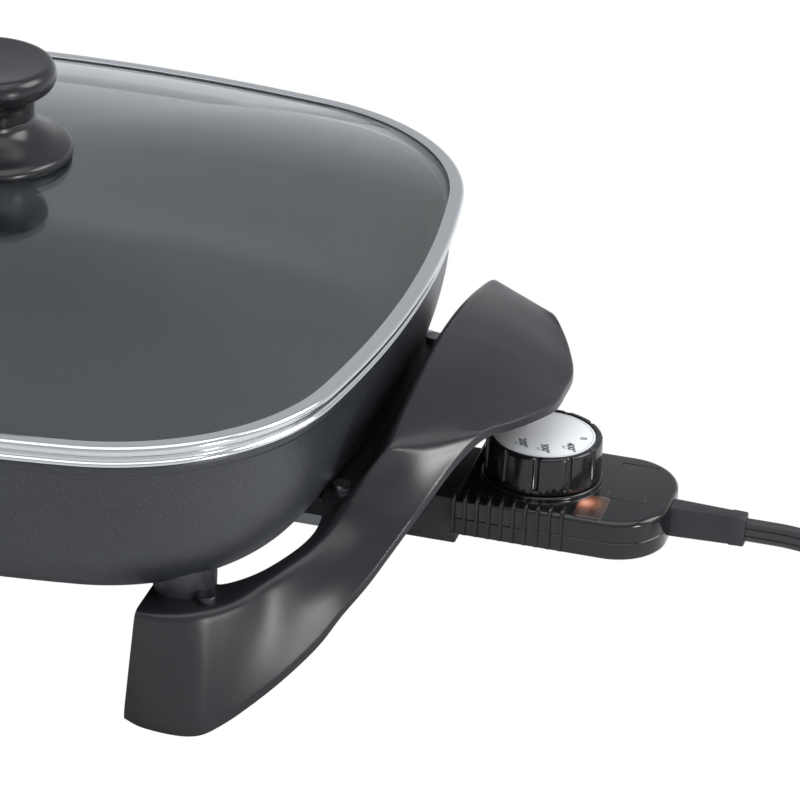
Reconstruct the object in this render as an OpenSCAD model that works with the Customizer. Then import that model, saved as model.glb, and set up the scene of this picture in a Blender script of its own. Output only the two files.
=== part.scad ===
// Square electric skillet: cast pan, glass lid, two handles with feet, plug-in control with dial and lead.
// Millimetres, +Z up, standing on z = 0. Places are given from the middle of the pan and moved by pan_x.

/* [Pan] */
// Half the width of the pan over its rim, at the middle of a side
pan_half = 157; // [145:1:170]
// Radius of the pan's corners at the rim
pan_corner_r = 82; // [72:1:92]
// Radius of the slight bow of each side at the rim
side_bow_r = 495; // [420:5:600]
// Depth of the pan outside, from rim to underside
pan_depth = 59; // [56:1:68]
// Height of the pan's underside over the table
leg_height = 43; // [42:1:50]
// Wall thickness of the pan
pan_wall = 3.2; // [2.4:0.2:4]
// Floor thickness of the pan
pan_floor = 4.6; // [3.6:0.2:6]
// Height of the rounding from wall to underside
pan_round_h = 45; // [40:1:48]
// Width of the rounding from wall to underside
pan_round_w = 32.4; // [28:0.4:36]

/* [Lid] */
// How far the lid band stands out past the pan rim
lid_overhang = 3; // [2:0.5:5]
// Height of the steel lid band
band_h = 8; // [7:0.5:11]
// Width of the band's top face
band_top_w = 5.25; // [4.5:0.25:7]
// Thickness of the lid glass
glass_t = 3; // [2.6:0.1:3.1]
// Rise of the glass from band to knob
dome_rise = 29.2; // [20:0.4:40]
// Gap between lid band and pan rim
lid_gap = 0.3; // [0.2:0.1:0.6]

/* [Knob] */
// Radius of the knob's saucer
saucer_r = 30.8; // [27:0.2:36]
// Radius of the knob's grip
knob_r = 24.7; // [21:0.1:28]
// Radius of the knob's neck
neck_r = 17; // [13:0.5:19]
// Height of the saucer
saucer_h = 14; // [12:0.5:18]
// Height of the grip over the saucer
grip_h = 19.3; // [16:0.1:23]
// Radius of the knob screw
knob_screw_r = 2.5; // [2:0.1:2.8]

/* [Handles] */
// Thickness of the handle moulding
handle_wall = 2.8; // [2.2:0.2:3.2]
// Depth of the handle's turned-down edge
handle_edge = 3.2; // [2.6:0.2:4]
// Radius of the posts between pan and feet
post_r = 9.5; // [8.5:0.5:10.5]
// Radius of the leg screws
leg_screw_r = 2.4; // [2:0.1:2.8]
// Radius of the side screws
side_screw_r = 2; // [1.6:0.1:2.2]

/* [Heating element] */
// Radius of the sheathed tube
tube_r = 3.4; // [3:0.1:3.6]
// Half the width of the element's loop
loop_half = 70; // [60:1:80]
// Radius of the loop's corners
loop_r = 30; // [22:1:36]
// Half the distance between the two pins
pin_pitch_half = 14; // [13.5:0.1:14.5]
// Radius of a pin
pin_r = 2.4; // [2.1:0.1:2.6]

/* [Control probe] */
// Half the width of the control's housing
probe_half = 26.2; // [24:0.2:28]
// Place of the housing's front face
probe_x0 = 180.5; // [178:0.5:184]
// Length of the housing
probe_len = 73; // [70:1:80]
// Depth of the housing's underside below the pan's underside
probe_drop = 11; // [10:0.5:12]
// Height of the housing's lower half
lower_h = 6.5; // [5.5:0.5:7.5]
// Height of the housing's upper half
upper_h = 8; // [7:0.2:9]
// Wall of the housing
probe_wall = 2; // [1.6:0.1:2.2]
// Radius of the sensor tube
sensor_r = 3.1; // [2.8:0.1:3.3]
// Length of the sensor tube in front of the nose
sensor_reach = 52; // [48:1:53]

/* [Dial] */
// Radius of the dial
dial_r = 20.6; // [18:0.2:21]
// Height of the dial
dial_h = 14.2; // [12:0.2:16]
// Number of grip grooves round the dial
dial_grooves = 11; // [8:1:16]
// Width of the ring round the dial's plate
dial_ring_w = 2.8; // [2:0.2:3]
// Radius of the dial's shaft
shaft_r = 3; // [2.5:0.1:3.4]

/* [Lead] */
// Width of the flat lead
lead_w = 8.5; // [7.5:0.1:8.6]
// Thickness of the flat lead
lead_t = 4.8; // [4:0.1:5.2]
// Length of the strain relief
relief_len = 27; // [22:1:32]
// Outer radius of the put-away coil, at the lead's middle
coil_r = 49; // [45:1:51]

/* [Hidden] */

fine = 64;              // steps of a small full circle

// Heights
rim_z = leg_height + pan_depth;
lid_z0 = rim_z + lid_gap;
lid_z1 = lid_z0 + band_h - lid_gap;
lid_half = pan_half + lid_overhang;

// The handle's stations are drawn for a pan half of 157 and a leg height of 43
grow = pan_half - 157;
rise = leg_height - 43;

// Rim outline: corner centre, and the angle at which a side's arc meets the corner's arc
bow_p = side_bow_r - pan_half;
bow_q = side_bow_r - pan_corner_r;
corner_c = (sqrt(2 * bow_q * bow_q - bow_p * bow_p) - bow_p) / 2;
bow_a = atan2(corner_c, corner_c + bow_p);

// Control and dial places
pin_z = leg_height - 8.2;
probe_z0 = leg_height - probe_drop;
probe_x1 = probe_x0 + probe_len;
probe_zm = probe_z0 + lower_h;
probe_z1 = probe_zm + upper_h;
dial_x = probe_x0 + 26;
collar_h = 2.2;
dial_gap = 0.3;
dial_z0 = probe_z1 + collar_h + dial_gap;
dial_z1 = dial_z0 + dial_h;
plate_r = dial_r - dial_ring_w;
relief_x0 = probe_x1 - probe_wall;
lead_x = probe_x1 - 0.6 + relief_len;
lead_z = probe_zm + 0.3;

// The handle's outermost point, and the move that centres the whole object over z = 0
handle_reach = 212.9 + grow;
pan_x = -(lead_x - handle_reach) / 2;

// ---------------------------------------------------------------- helpers

module at_pan() { translate([pan_x, 0, 0]) children(); }

module both_y() { children(); mirror([0, 1, 0]) children(); }

module all_corners() { both_y() { children(); mirror([1, 0, 0]) children(); } }

// Cylinder with its axis along +X from the given point
module along_x(p, r, h) { translate(p) rotate([0, 90, 0]) cylinder(r = r, h = h, $fn = fine); }

module up_z(p, r, h) { translate(p) cylinder(r = r, h = h, $fn = fine); }

// Box from its lowest to its highest corner
module block(a, b) { translate(a) cube(b - a); }

// Bowed-square outline, inset by i from the pan's rim, as points round the pan's middle
function quarter(i) = concat(
  [for (k = [-4 : 3]) let (a = bow_a * k / 4)
    [cos(a) * (side_bow_r - i) - bow_p, sin(a) * (side_bow_r - i)]],
  [for (k = [0 : 9]) let (a = bow_a + (90 - 2 * bow_a) * k / 10)
    [corner_c + cos(a) * (pan_corner_r - i), corner_c + sin(a) * (pan_corner_r - i)]]);
function turned(p, a) = [p[0] * cos(a) - p[1] * sin(a), p[0] * sin(a) + p[1] * cos(a)];
function outline(i, z) =
  [for (s = [0 : 3]) for (p = quarter(i)) let (q = turned(p, 90 * s)) [q[0], q[1], z]];
// The same outline drawn in towards a circle of radius r, by a share t
function eased(i, r, t, z) = [for (p = outline(i, z)) let (f = r / norm([p[0], p[1]]))
  [p[0] * (1 - t + t * f), p[1] * (1 - t + t * f), z]];

// Closed skin over rings of equal count. The rings turn anticlockwise as seen from the last one.
// A loop runs on into its first ring; a shell's ends are closed by strips across its thickness.
module skin(rings, loop = false, shell = 0) {
  m = len(rings);
  n = len(rings[0]);
  last = (m - 1) * n;
  walls = [for (i = [0 : loop ? m - 1 : m - 2]) for (j = [0 : n - 1])
    let (a = i * n + j, b = i * n + (j + 1) % n,
         c = ((i + 1) % m) * n + (j + 1) % n, d = ((i + 1) % m) * n + j)
    each [[a, c, b], [a, d, c]]];
  strips = [for (j = [0 : shell - 2]) each [[j, j + 1, n - 2 - j], [j, n - 2 - j, n - 1 - j],
    [last + j, last + n - 2 - j, last + j + 1], [last + j, last + n - 1 - j, last + n - 2 - j]]];
  caps = [[for (j = [0 : n - 1]) j], [for (j = [n - 1 : -1 : 0]) last + j]];
  polyhedron([for (r = rings) each r], concat(walls, loop ? [] : shell > 0 ? strips : caps));
}

function unit(v) = v / norm(v);
function bend(p0, p1, p2, p3, t) =
  (2 * p1 + (p2 - p0) * t + (2 * p0 - 5 * p1 + 4 * p2 - p3) * t * t
    + (3 * p1 - p0 - 3 * p2 + p3) * t * t * t) / 2;
// Smooth row through the points, with m steps between neighbours
function smooth(p, m) = let (n = len(p) - 1) concat(
  [for (i = [0 : n - 1]) for (k = [0 : m - 1])
    bend(p[max(i - 1, 0)], p[i], p[i + 1], p[min(i + 2, n)], k / m)], [p[n]]);

// ---------------------------------------------------------------- pan

round_z = leg_height + pan_round_h;
wall_in = 1.4;          // inset of the wall's foot from the rim
bead_in = 1.1;          // inset of the wall just under the rim bead
outer_wall = concat(
  [[0, rim_z], [0, rim_z - 2.8], [bead_in, rim_z - 4], [wall_in, round_z]],
  [for (k = [1 : 7]) let (a = 90 * k / 7)
    [wall_in + pan_round_w * (1 - cos(a)), round_z - pan_round_h * sin(a)]]);
inner_wall = concat(
  [[bead_in + pan_wall, rim_z], [wall_in + pan_wall, round_z]],
  [for (k = [1 : 7]) let (a = 90 * k / 7)
    [wall_in + pan_wall + (pan_round_w - 3) * (1 - cos(a)), round_z - (pan_round_h - pan_floor) * sin(a)]]);

module pan() color([0.2, 0.21, 0.23]) at_pan()
  skin([for (k = [len(outer_wall) - 1 : -1 : 0]) outline(outer_wall[k][0], outer_wall[k][1]),
        each [for (w = inner_wall) outline(w[0], w[1])]]);

// What the pan fills at a corner and along its right side, for pieces that are cut to meet it
module pan_corner_form() translate([corner_c, corner_c, 0]) rotate_extrude($fn = 120)
  polygon(concat([for (w = outer_wall) [pan_corner_r - w[0], w[1]]], [[0, leg_height], [0, rim_z]]));
module pan_side_form() translate([-bow_p, 0, 0]) rotate([0, 0, -15]) rotate_extrude(angle = 30, $fn = 360)
  polygon(concat([for (w = outer_wall) [side_bow_r - w[0], w[1]]], [[bow_p, leg_height], [bow_p, rim_z]]));

// ---------------------------------------------------------------- under the pan

turn_r = 12;            // radius of the turns into the two ends
bead_w = 6;             // half width of the cast bead
bead_h = 11.4;
bead_end = 116;
tube_end = 118;
seal_len = 6;
pin_tip = 168;
tube_gap = 0.1;

// The children's flat section, carried round the element's loop and out along its two ends
module run_x(x0, x1, y) translate([x0, y, 0]) rotate([90, 0, 90]) linear_extrude(x1 - x0) children();
module run_y(y0, y1, x) translate([x, y1, 0]) rotate([90, 0, 0]) linear_extrude(y1 - y0) children();
module run_arc(c, r, a) translate([c[0], c[1], 0]) rotate([0, 0, a])
  rotate_extrude(angle = 90, $fn = 96) translate([r, 0]) children();
module round_loop(end) both_y() {
  flat = loop_half - loop_r;
  run_y(0, flat, -loop_half) children();
  run_arc([-flat, flat], loop_r, 90) children();
  run_x(-flat, flat, loop_half) children();
  run_arc([flat, flat], loop_r, 0) children();
  run_y(pin_pitch_half + turn_r, flat, loop_half) children();
  run_arc([loop_half + turn_r, pin_pitch_half + turn_r], turn_r, 180) children();
  run_x(loop_half + turn_r, end, pin_pitch_half) children();
}

module element_bead() color([0.62, 0.63, 0.64]) at_pan() round_loop(bead_end) {
  z1 = leg_height;
  z0 = z1 - bead_h;
  g = tube_r + tube_gap;
  zg = pin_z + g;
  polygon([[-bead_w, z0], [-g, z0], [-g, zg], [g, zg], [g, z0], [bead_w, z0], [bead_w, z1], [-bead_w, z1]]);
}

module heating_element() color([0.36, 0.34, 0.32]) at_pan()
  round_loop(tube_end) translate([0, pin_z]) circle(r = tube_r, $fn = fine);

module element_seals() color([0.85, 0.83, 0.78]) at_pan() both_y() difference() {
  along_x([tube_end, pin_pitch_half, pin_z], tube_r + 0.6, seal_len);
  along_x([tube_end - 1, pin_pitch_half, pin_z], pin_r + 0.02, seal_len + 2);
}

module element_pins() color([0.78, 0.76, 0.7]) at_pan() both_y()
  along_x([tube_end, pin_pitch_half, pin_z], pin_r, pin_tip - tube_end);

well_x0 = 86;
well_x1 = 110;
well_half = 7;
nose_x0 = 140;
sensor_tip = nose_x0 - sensor_reach;

module sensor_well() color([0.62, 0.63, 0.64]) at_pan() difference() {
  block([well_x0, -well_half, pin_z - sensor_r - 2.6], [well_x1, well_half, leg_height]);
  along_x([sensor_tip - 0.5, 0, pin_z], sensor_r + 0.3, well_x1 - sensor_tip + 2);
}

guard_x0 = 118;
guard_x1 = 149;
guard_half = 24.2;
guard_t = 1;
guard_z0 = leg_height - 17.8;
stud_x = 108;
stud_y = 25;
stud_r = 1.8;
tab_half = 4;

module socket_guard() color([0.7, 0.71, 0.72]) at_pan() difference() {
  union() {
    difference() {
      block([guard_x0, -guard_half, guard_z0], [guard_x1, guard_half, leg_height]);
      block([guard_x0 - 1, guard_t - guard_half, guard_z0 + guard_t],
            [guard_x1 + 1, guard_half - guard_t, leg_height - guard_t]);
    }
    both_y() block([stud_x - 8, stud_y - tab_half, leg_height - guard_t],
                   [guard_x0 + 2, stud_y + tab_half, leg_height]);
  }
  both_y() up_z([stud_x, stud_y, leg_height - guard_t - 1], stud_r + 0.05, guard_t + 2);
}

module guard_rivets() color([0.66, 0.67, 0.68]) at_pan() both_y() {
  up_z([stud_x, stud_y, leg_height - guard_t], stud_r, guard_t);
  up_z([stud_x, stud_y, leg_height - guard_t - 1.4], stud_r * 1.9, 1.4);
}

// ---------------------------------------------------------------- handles

shelf_z = 41.5 + rise;          // top of the foot's shelf
post_c = 109.6 + grow;          // a post stands on the corner's diagonal
web_z = 61.5 + rise;            // top of the web beside the pan
side_x = 150.4 + grow;
side_y = 61 * (1 + grow / 100);
lug_half = 4;

// Stations of the right handle, from the end of the front foot to the middle of the grip. Each has
// the shelf's edge, the shelf's bend, the ridge, the middle of the face and the lowest edge.
front_half = [
  [[100, -98, 41.5], [100.5, -112, 41.5], [100.5, -131.5, 41.5], [99, -132, 21], [97.5, -131.5, 0]],
  [[107, -98, 41.5], [108, -112, 41.5], [108, -131, 41.5], [106.5, -133.3, 21], [105, -135.3, 0]],
  [[113, -98.5, 41.5], [114.5, -110, 41.5], [115, -128.6, 41.5], [116, -133, 21], [117, -136.5, 0]],
  [[117, -100.5, 41.5], [119, -109, 41.5], [121, -125, 41.5], [123, -130, 21], [124.5, -134, 0]],
  [[120.6, -104.5, 41.5], [122.5, -108.5, 41.5], [126.6, -119.7, 41.5], [128, -125, 21.5], [129.6, -128, 1]],
  [[126.2, -103.5, 43], [128, -106.2, 43], [132.7, -112.7, 42.6], [134.6, -117, 24.5], [136.4, -120.9, 5]],
  [[132.5, -99.3, 45], [133.8, -101.2, 45], [137.2, -105.2, 44.6], [142, -108.2, 29], [146, -110.8, 12.5]],
  [[137.8, -94.5, 47.5], [139, -95.9, 47.5], [142.2, -98.6, 47.2], [149, -100.4, 35], [155, -99.9, 21.5]],
  [[143.2, -87.4, 50.5], [144.4, -88.6, 50.5], [147.6, -91, 50.3], [155, -93, 41], [160.9, -92.3, 30.5]],
  [[146.6, -81.2, 53.5], [147.9, -82.3, 53.5], [151.2, -84.4, 54], [160, -86, 48], [167.4, -85.8, 39.5]],
  [[147.6, -75.4, 56.5], [149.6, -76.6, 56.7], [153.2, -78.4, 58.4], [164, -79.6, 55], [173.2, -78.6, 49]],
  [[146.9, -70.4, 60], [151, -71.6, 60], [155.6, -74.4, 64], [168, -74.6, 61.5], [178, -72.2, 57]],
  [[146.6, -66.5, 61.5], [152.8, -67.5, 61.5], [161, -72.6, 74], [173.2, -71.2, 71.6], [183.8, -66.2, 67]],
  [[146.9, -61.5, 61.5], [154, -62.5, 61.5], [165.6, -72.2, 81.6], [178.4, -66.2, 79.6], [190, -57, 76.5]],
  [[147.2, -56, 61.5], [154.6, -57.5, 61.5], [168, -70.4, 85.8], [182.8, -60, 85.2], [196.3, -48.7, 82.6]],
  [[147.9, -48, 61.5], [154.6, -49.5, 61.5], [168, -57.5, 89.4], [186, -48, 88.6], [202.9, -37.6, 81.8]],
  [[148.9, -35, 61.5], [154.4, -36, 61.5], [168, -39.5, 93.4], [188.8, -33, 90.6], [208.6, -25, 80.4]],
  [[149.8, -18, 61.5], [154.2, -18.5, 61.5], [167.7, -20, 95.8], [191, -17, 92], [212.6, -12.5, 79.2]],
  [[150.2, 0, 61.5], [154, 0, 61.5], [167.5, 0, 96.5], [191.4, 0, 92.6], [212.9, 0, 78.8]]];

// Moves a place drawn for the drawn sizes out with the pan's half width and up with the leg height
function fitted(p) = [p[0] + grow,
                      p[1] + sign(p[1]) * grow * min(1, abs(p[1]) / 100),
                      p[2] + rise * min(1, p[2] / 41)];
function across(k) = [for (s = front_half) fitted(s[k])];
// A whole row across: the ridge rounded, points between the face's own, and the turned-down edge
ridge_r = 3.4;
function near(q, p) = q + unit(p - q) * min(ridge_r, norm(p - q) * 0.4);
function full_row(w, v, a, m, e) =
  let (d = e + [0, 0, handle_edge], a0 = near(a, v), a1 = near(a, m))
    [w, v, a0, (a0 + a1) / 4 + a / 2, a1, bend(a, a1, m, d, 0.5), m, bend(a, m, d, d, 0.5), d, e];
half_rows = let (c = [for (k = [0 : 4]) smooth(across(k), 2)])
  [for (i = [0 : len(c[0]) - 1]) full_row(c[0][i], c[1][i], c[2][i], c[3][i], c[4][i])];
rows = concat(half_rows, [for (i = [len(half_rows) - 2 : -1 : 0])
  [for (p = half_rows[i]) [p[0], -p[1], p[2]]]]);

function lengthwise(i, j) = unit(rows[min(i + 1, len(rows) - 1)][j] - rows[max(i - 1, 0)][j]);
function face_normal(i, j) =
  unit(cross(rows[i][j + 1] - rows[i][j], lengthwise(i, j) + lengthwise(i, j + 1)));
function under(i, j) =
  let (n0 = face_normal(i, max(j - 1, 0)), n1 = face_normal(i, min(j, len(rows[i]) - 2)))
    rows[i][j] - (n0 + n1) * handle_wall / (1 + n0 * n1);
function section(i) = concat(rows[i], [for (j = [len(rows[i]) - 1 : -1 : 0]) under(i, j)]);

module handle_shell()
  skin([for (i = [0 : len(rows) - 1]) section(i)], shell = len(rows[0]));

post_h = 20;            // drawn height, of which the pan's form cuts off the top
post_rib_at = [6.9, -4.5];
post_rib_r = 4;
module leg_posts() color([0.6, 0.61, 0.62]) at_pan() all_corners() difference() {
  union() {
    up_z([post_c, post_c, shelf_z], post_r, post_h);
    up_z([post_c + post_rib_at[0], post_c + post_rib_at[1], shelf_z], post_rib_r, post_h);
  }
  pan_corner_form();
  up_z([post_c, post_c, shelf_z - 1], leg_screw_r + 0.01, leg_screw_in + 1);
}

leg_screw_in = 2.2;
leg_head_r = 4.5;
leg_head_h = 2.5;
module leg_screws() color([0.72, 0.73, 0.74]) at_pan() all_corners() {
  z = shelf_z - handle_wall;
  up_z([post_c, post_c, z - leg_head_h], leg_head_r, leg_head_h);
  up_z([post_c, post_c, z], leg_screw_r, handle_wall + leg_screw_in);
}

lug_z0 = web_z - handle_wall - 6.7;
lug_z1 = web_z - handle_wall;
side_screw_in = 5.7;
lug_in = 25;            // how far a lug is drawn into the pan, whose form then cuts it
lug_out = 2.6;
module side_lugs() color([0.2, 0.21, 0.23]) at_pan() all_corners() difference() {
  block([pan_half - lug_in, side_y - lug_half, lug_z0], [side_x + lug_out, side_y + lug_half, lug_z1]);
  pan_side_form();
  up_z([side_x, side_y, lug_z1 - side_screw_in], side_screw_r + 0.01, side_screw_in + 1);
}

side_head_r = 3;
side_head_h = 2.2;
module side_screws() color([0.72, 0.73, 0.74]) at_pan() all_corners() {
  up_z([side_x, side_y, web_z], side_head_r, side_head_h);
  up_z([side_x, side_y, lug_z1 - side_screw_in], side_screw_r, side_screw_in + handle_wall);
}

bump_r = 3.2;
bump_h = 2.5;
module right_handle() color([0.1, 0.1, 0.11]) at_pan() difference() {
  union() {
    handle_shell();
    both_y() up_z([post_c + 11, post_c + 7.2, shelf_z - 1], bump_r, bump_h + 1);
  }
  both_y() {
    up_z([post_c, post_c, shelf_z - 10], leg_screw_r + 0.3, 20);
    up_z([side_x, side_y, web_z - 10], side_screw_r + 0.2, 20);
    up_z([side_x, side_y, web_z], side_head_r + 0.4, side_head_h + 1);
  }
}

module left_handle() color([0.1, 0.1, 0.11]) translate([2 * pan_x, 0, 0]) mirror([1, 0, 0]) right_handle();

// ---------------------------------------------------------------- lid

glass_edge = 2.7;
slot_gap = 0.1;
glass_z = lid_z1 - 0.8 - slot_gap;      // top of the glass at its edge
slot_z = glass_z - glass_t - slot_gap;
glass_zc = glass_z + dome_rise;         // top of the glass at its middle
screw_gap = 1;                          // round the knob screw in the glass

band_section = [
  [band_top_w, lid_z1 - 0.8], [band_top_w, lid_z1], [1.3, lid_z1], [0, lid_z1 - 1.1], [0, lid_z1 - 3],
  [1.9, lid_z0 + 3], [2.3, lid_z0 + 1.9], [1.3, lid_z0 + 0.7], [1.3, lid_z0], [4.3, lid_z0],
  [4.3, slot_z - 1.4], [band_top_w, slot_z - 0.8], [band_top_w, slot_z],
  [glass_edge - slot_gap, slot_z], [glass_edge - slot_gap, lid_z1 - 0.8]];

module lid_band() color([0.8, 0.81, 0.82]) at_pan()
  skin([for (k = [len(band_section) - 1 : -1 : 0])
    outline(band_section[k][0] - lid_overhang, band_section[k][1])], loop = true);

// The glass is flat under the band, then rises in a dome whose rings ease from the rim to a circle
dome_in = band_top_w + 0.1;
dome_steps = [0, 0.07, 0.18, 0.34, 0.52, 0.7, 0.84, 0.93, 1];
crown_r = 12;
function glass_ring(t, z) =
  eased(dome_in - lid_overhang, crown_r, t, z + dome_rise * (1 - pow(1 - t, 1.8)));
module lid_glass() color([0.25, 0.28, 0.3, 0.5]) at_pan() difference() {
  skin([for (k = [len(dome_steps) - 1 : -1 : 0]) glass_ring(dome_steps[k], glass_z - glass_t),
        outline(glass_edge - lid_overhang, glass_z - glass_t), outline(glass_edge - lid_overhang, glass_z),
        each [for (t = dome_steps) glass_ring(t, glass_z)]]);
  up_z([0, 0, glass_zc - 10], knob_screw_r + screw_gap, 20);
}

gasket_t = 0.4;
washer_t = 1.2;
knob_z = glass_zc + gasket_t;
grip_z = knob_z + saucer_h;
bore_gap = 0.2;

module knob_base() color([0.08, 0.08, 0.09]) at_pan() {
  s = saucer_r;
  n = neck_r;
  k = saucer_h / 14;
  b = knob_screw_r + bore_gap;
  translate([0, 0, knob_z]) rotate_extrude($fn = 96)
    polygon([[b, 0], [s - 6.8, 0], [s - 3.8, -0.6], [s - 0.5, -0.6], [s, 0], [s - 0.1, 2.2 * k],
      [s - 1.3, 3.5 * k], [s - 5.8, 5.4 * k], [n + 3, 8.8 * k], [n + 0.4, 11.6 * k], [n, saucer_h],
      [b, saucer_h]]);
}

screw_in = 8.4;         // how far the knob screw goes into the grip
module knob_grip() color([0.08, 0.08, 0.09]) at_pan() difference() {
  n = neck_r;
  r = knob_r;
  m = grip_h / 19.3;
  translate([0, 0, grip_z]) rotate_extrude($fn = 96)
    polygon([[0, 0], [n, 0], [n, 5.5 * m], [n + 2, 8 * m], [r - 2, 10 * m], [r - 0.4, 12 * m],
      [r, 14.5 * m], [r - 0.5, 17.1 * m], [r - 1.8, 18.8 * m], [r - 3.2, grip_h], [12, 18.5 * m],
      [0, 18.3 * m]]);
  up_z([0, 0, grip_z - 1], knob_screw_r + 0.01, screw_in + 1.2);
}

knob_head_r = 5;
knob_head_h = 2.8;
washer_r = 9;
washer_z = glass_zc - glass_t - washer_t;
module knob_screw() color([0.72, 0.73, 0.74]) at_pan() {
  up_z([0, 0, washer_z - knob_head_h], knob_head_r, knob_head_h);
  up_z([0, 0, washer_z], knob_screw_r, grip_z + screw_in - washer_z);
}

// Flat ring round the middle axis
module flat_ring(z, r0, r1, h) difference() {
  up_z([0, 0, z], r1, h);
  up_z([0, 0, z - 1], r0, h + 2);
}
module knob_washer() color([0.72, 0.73, 0.74]) at_pan()
  flat_ring(washer_z, knob_screw_r + bore_gap, washer_r, washer_t);
module knob_gasket() color([0.15, 0.15, 0.15]) at_pan()
  flat_ring(glass_zc, knob_screw_r + screw_gap, 10, gasket_t);

// ---------------------------------------------------------------- control probe

far_r = 19;             // plan radius of the housing's far corners
top_r = 1.6;            // rounding of its top edge
far_x = probe_x1 - far_r;
rib_t = 1.2;
rib_out = 1.2;
rib_up = 1.9;
rib_in = 4.4;
first_rib = probe_x0 + 0.5;
rib_pitch = 4.29;
ribs = 10;

// Plan of the housing, drawn in by i, with its two far corners round
module plan(i) union() {
  translate([probe_x0 + i, i - probe_half]) square([far_x - probe_x0 - i, 2 * (probe_half - i)]);
  translate([far_x - 0.01, far_r - probe_half]) square([far_r - i + 0.01, 2 * (probe_half - far_r)]);
  for (s = [-1, 1]) translate([far_x, s * (probe_half - far_r)]) circle(r = far_r - i, $fn = 96);
}

// Half of the upper shell's section: from the inside out to the rounded top edge
function edge_section(w) = let (h = upper_h)
  concat([[0, 0], [w, 0], [w, h - top_r]],
    [for (a = [15 : 15 : 90]) [w - top_r + top_r * cos(a), h - top_r + top_r * sin(a)]], [[0, h]]);

module upper_outside() translate([0, 0, probe_zm]) {
  for (s = [-1, 1]) {
    translate([far_x, s * (probe_half - far_r), 0]) rotate([0, 0, s > 0 ? 0 : -90])
      rotate_extrude(angle = 90, $fn = 96) polygon(edge_section(far_r));
    translate([far_x, 0, 0]) rotate([90, 0, -90]) mirror([s > 0 ? 1 : 0, 0, 0])
      linear_extrude(far_x - probe_x0) polygon(edge_section(probe_half));
  }
  translate([far_x, probe_half - far_r, 0]) rotate([90, 0, 0])
    linear_extrude(2 * (probe_half - far_r)) polygon(edge_section(far_r));
}

module side_ribs(z0, z1) both_y() for (k = [0 : ribs - 1])
  translate([k == 0 ? first_rib : probe_x0 + 4.5 + rib_pitch * (k - 1), probe_half - rib_in, z0])
    cube([rib_t, rib_in + rib_out, z1 - z0]);

pillar_r = 3.4;
pillar_at = [[probe_x0 + 7, probe_half - 6.4], [far_x + 5.5, 14]];
drive_r = 1.5;
drive_head_r = 2.7;
drive_head_h = 1.6;
module at_pillars() both_y() for (p = pillar_at) translate([p[0], p[1], 0]) children();

tongue_half = 17;
tongue_z0 = pin_z + 0.2;
tongue_z1 = pin_z + 5;
relief_half = 3.6;
relief_rise = 5.9;
module wall_openings() {
  block([probe_x0 - 1, -tongue_half - 0.1, tongue_z0 - 0.1],
        [probe_x0 + 3, tongue_half + 0.1, tongue_z1 + 0.1]);
  block([relief_x0 - 1, -relief_half - 0.05, lead_z - relief_rise - 0.05],
        [probe_x1 + 1, relief_half + 0.05, lead_z + relief_rise + 0.05]);
}

module probe_lower() color([0.07, 0.07, 0.08]) at_pan() difference() {
  union() {
    difference() {
      translate([0, 0, probe_z0]) linear_extrude(lower_h) plan(0);
      translate([0, 0, probe_z0 + probe_wall]) linear_extrude(lower_h) plan(probe_wall);
    }
    side_ribs(probe_z0, probe_zm);
    at_pillars() up_z([0, 0, probe_z0], pillar_r, lower_h);
  }
  wall_openings();
  at_pillars() {
    up_z([0, 0, probe_z0 - 1], drive_r + 0.2, 20);
    up_z([0, 0, probe_z0 - 1], drive_head_r + 0.2, drive_head_h + 1);
  }
}

collar_r = dial_r + 0.6;
bush_r = 5;
cavity_z1 = probe_z1 - probe_wall;
lens_at = [probe_x0 + 42.5, 0.9 - probe_half];
lens_size = [10.5, 16.9];
lens_up = 0.6;
mark_at = [probe_x0 + 50.5, -8];
mark_size = [13.6, 28];
mark_w = 0.7;
mark_d = 0.3;

module lens_form(grow_by, z0, z1) difference() {
  block([lens_at[0] - grow_by, lens_at[1] - grow_by, z0],
        [lens_at[0] + lens_size[0] + grow_by, lens_at[1] + lens_size[1] + grow_by, z1]);
  up_z([dial_x, 0, z0 - 1], collar_r + 0.4 - grow_by, z1 - z0 + 2);
}

drive_in = 4.4;
module probe_upper() color([0.07, 0.07, 0.08]) at_pan() difference() {
  union() {
    difference() {
      upper_outside();
      translate([0, 0, probe_zm - 1]) linear_extrude(cavity_z1 - probe_zm + 1) plan(probe_wall);
    }
    side_ribs(probe_zm, probe_z1 + rib_up);
    at_pillars() up_z([0, 0, probe_zm], pillar_r, cavity_z1 - probe_zm + 0.5);
    up_z([dial_x, 0, cavity_z1], collar_r, probe_wall + collar_h);
  }
  wall_openings();
  up_z([dial_x, 0, cavity_z1 - 1], bush_r + 0.01, 20);
  lens_form(0.05, cavity_z1 - 1, probe_z1 + 5);
  at_pillars() up_z([0, 0, probe_zm - 1], drive_r + 0.01, drive_in + 1);
  difference() {
    block([mark_at[0], mark_at[1], probe_z1 - mark_d],
          [mark_at[0] + mark_size[0], mark_at[1] + mark_size[1], probe_z1 + 1]);
    block([mark_at[0] + mark_w, mark_at[1] + mark_w, probe_z1 - 1],
          [mark_at[0] + mark_size[0] - mark_w, mark_at[1] + mark_size[1] - mark_w, probe_z1 + 2]);
  }
}

module housing_screws() color([0.72, 0.73, 0.74]) at_pan() at_pillars() {
  up_z([0, 0, probe_z0], drive_head_r, drive_head_h);
  up_z([0, 0, probe_z0 + drive_head_h], drive_r, lower_h - drive_head_h + drive_in - 0.2);
}

nose_x1 = nose_x0 + 10.5;
socket_x0 = nose_x0 + 7;
socket_len = 25;
socket_r = pin_r + 1;
wire_r = 1.3;
wire_z = pin_z + 2.2;
base_x0 = probe_x0 + 11.5;
base_x1 = probe_x0 + 45.5;

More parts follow.
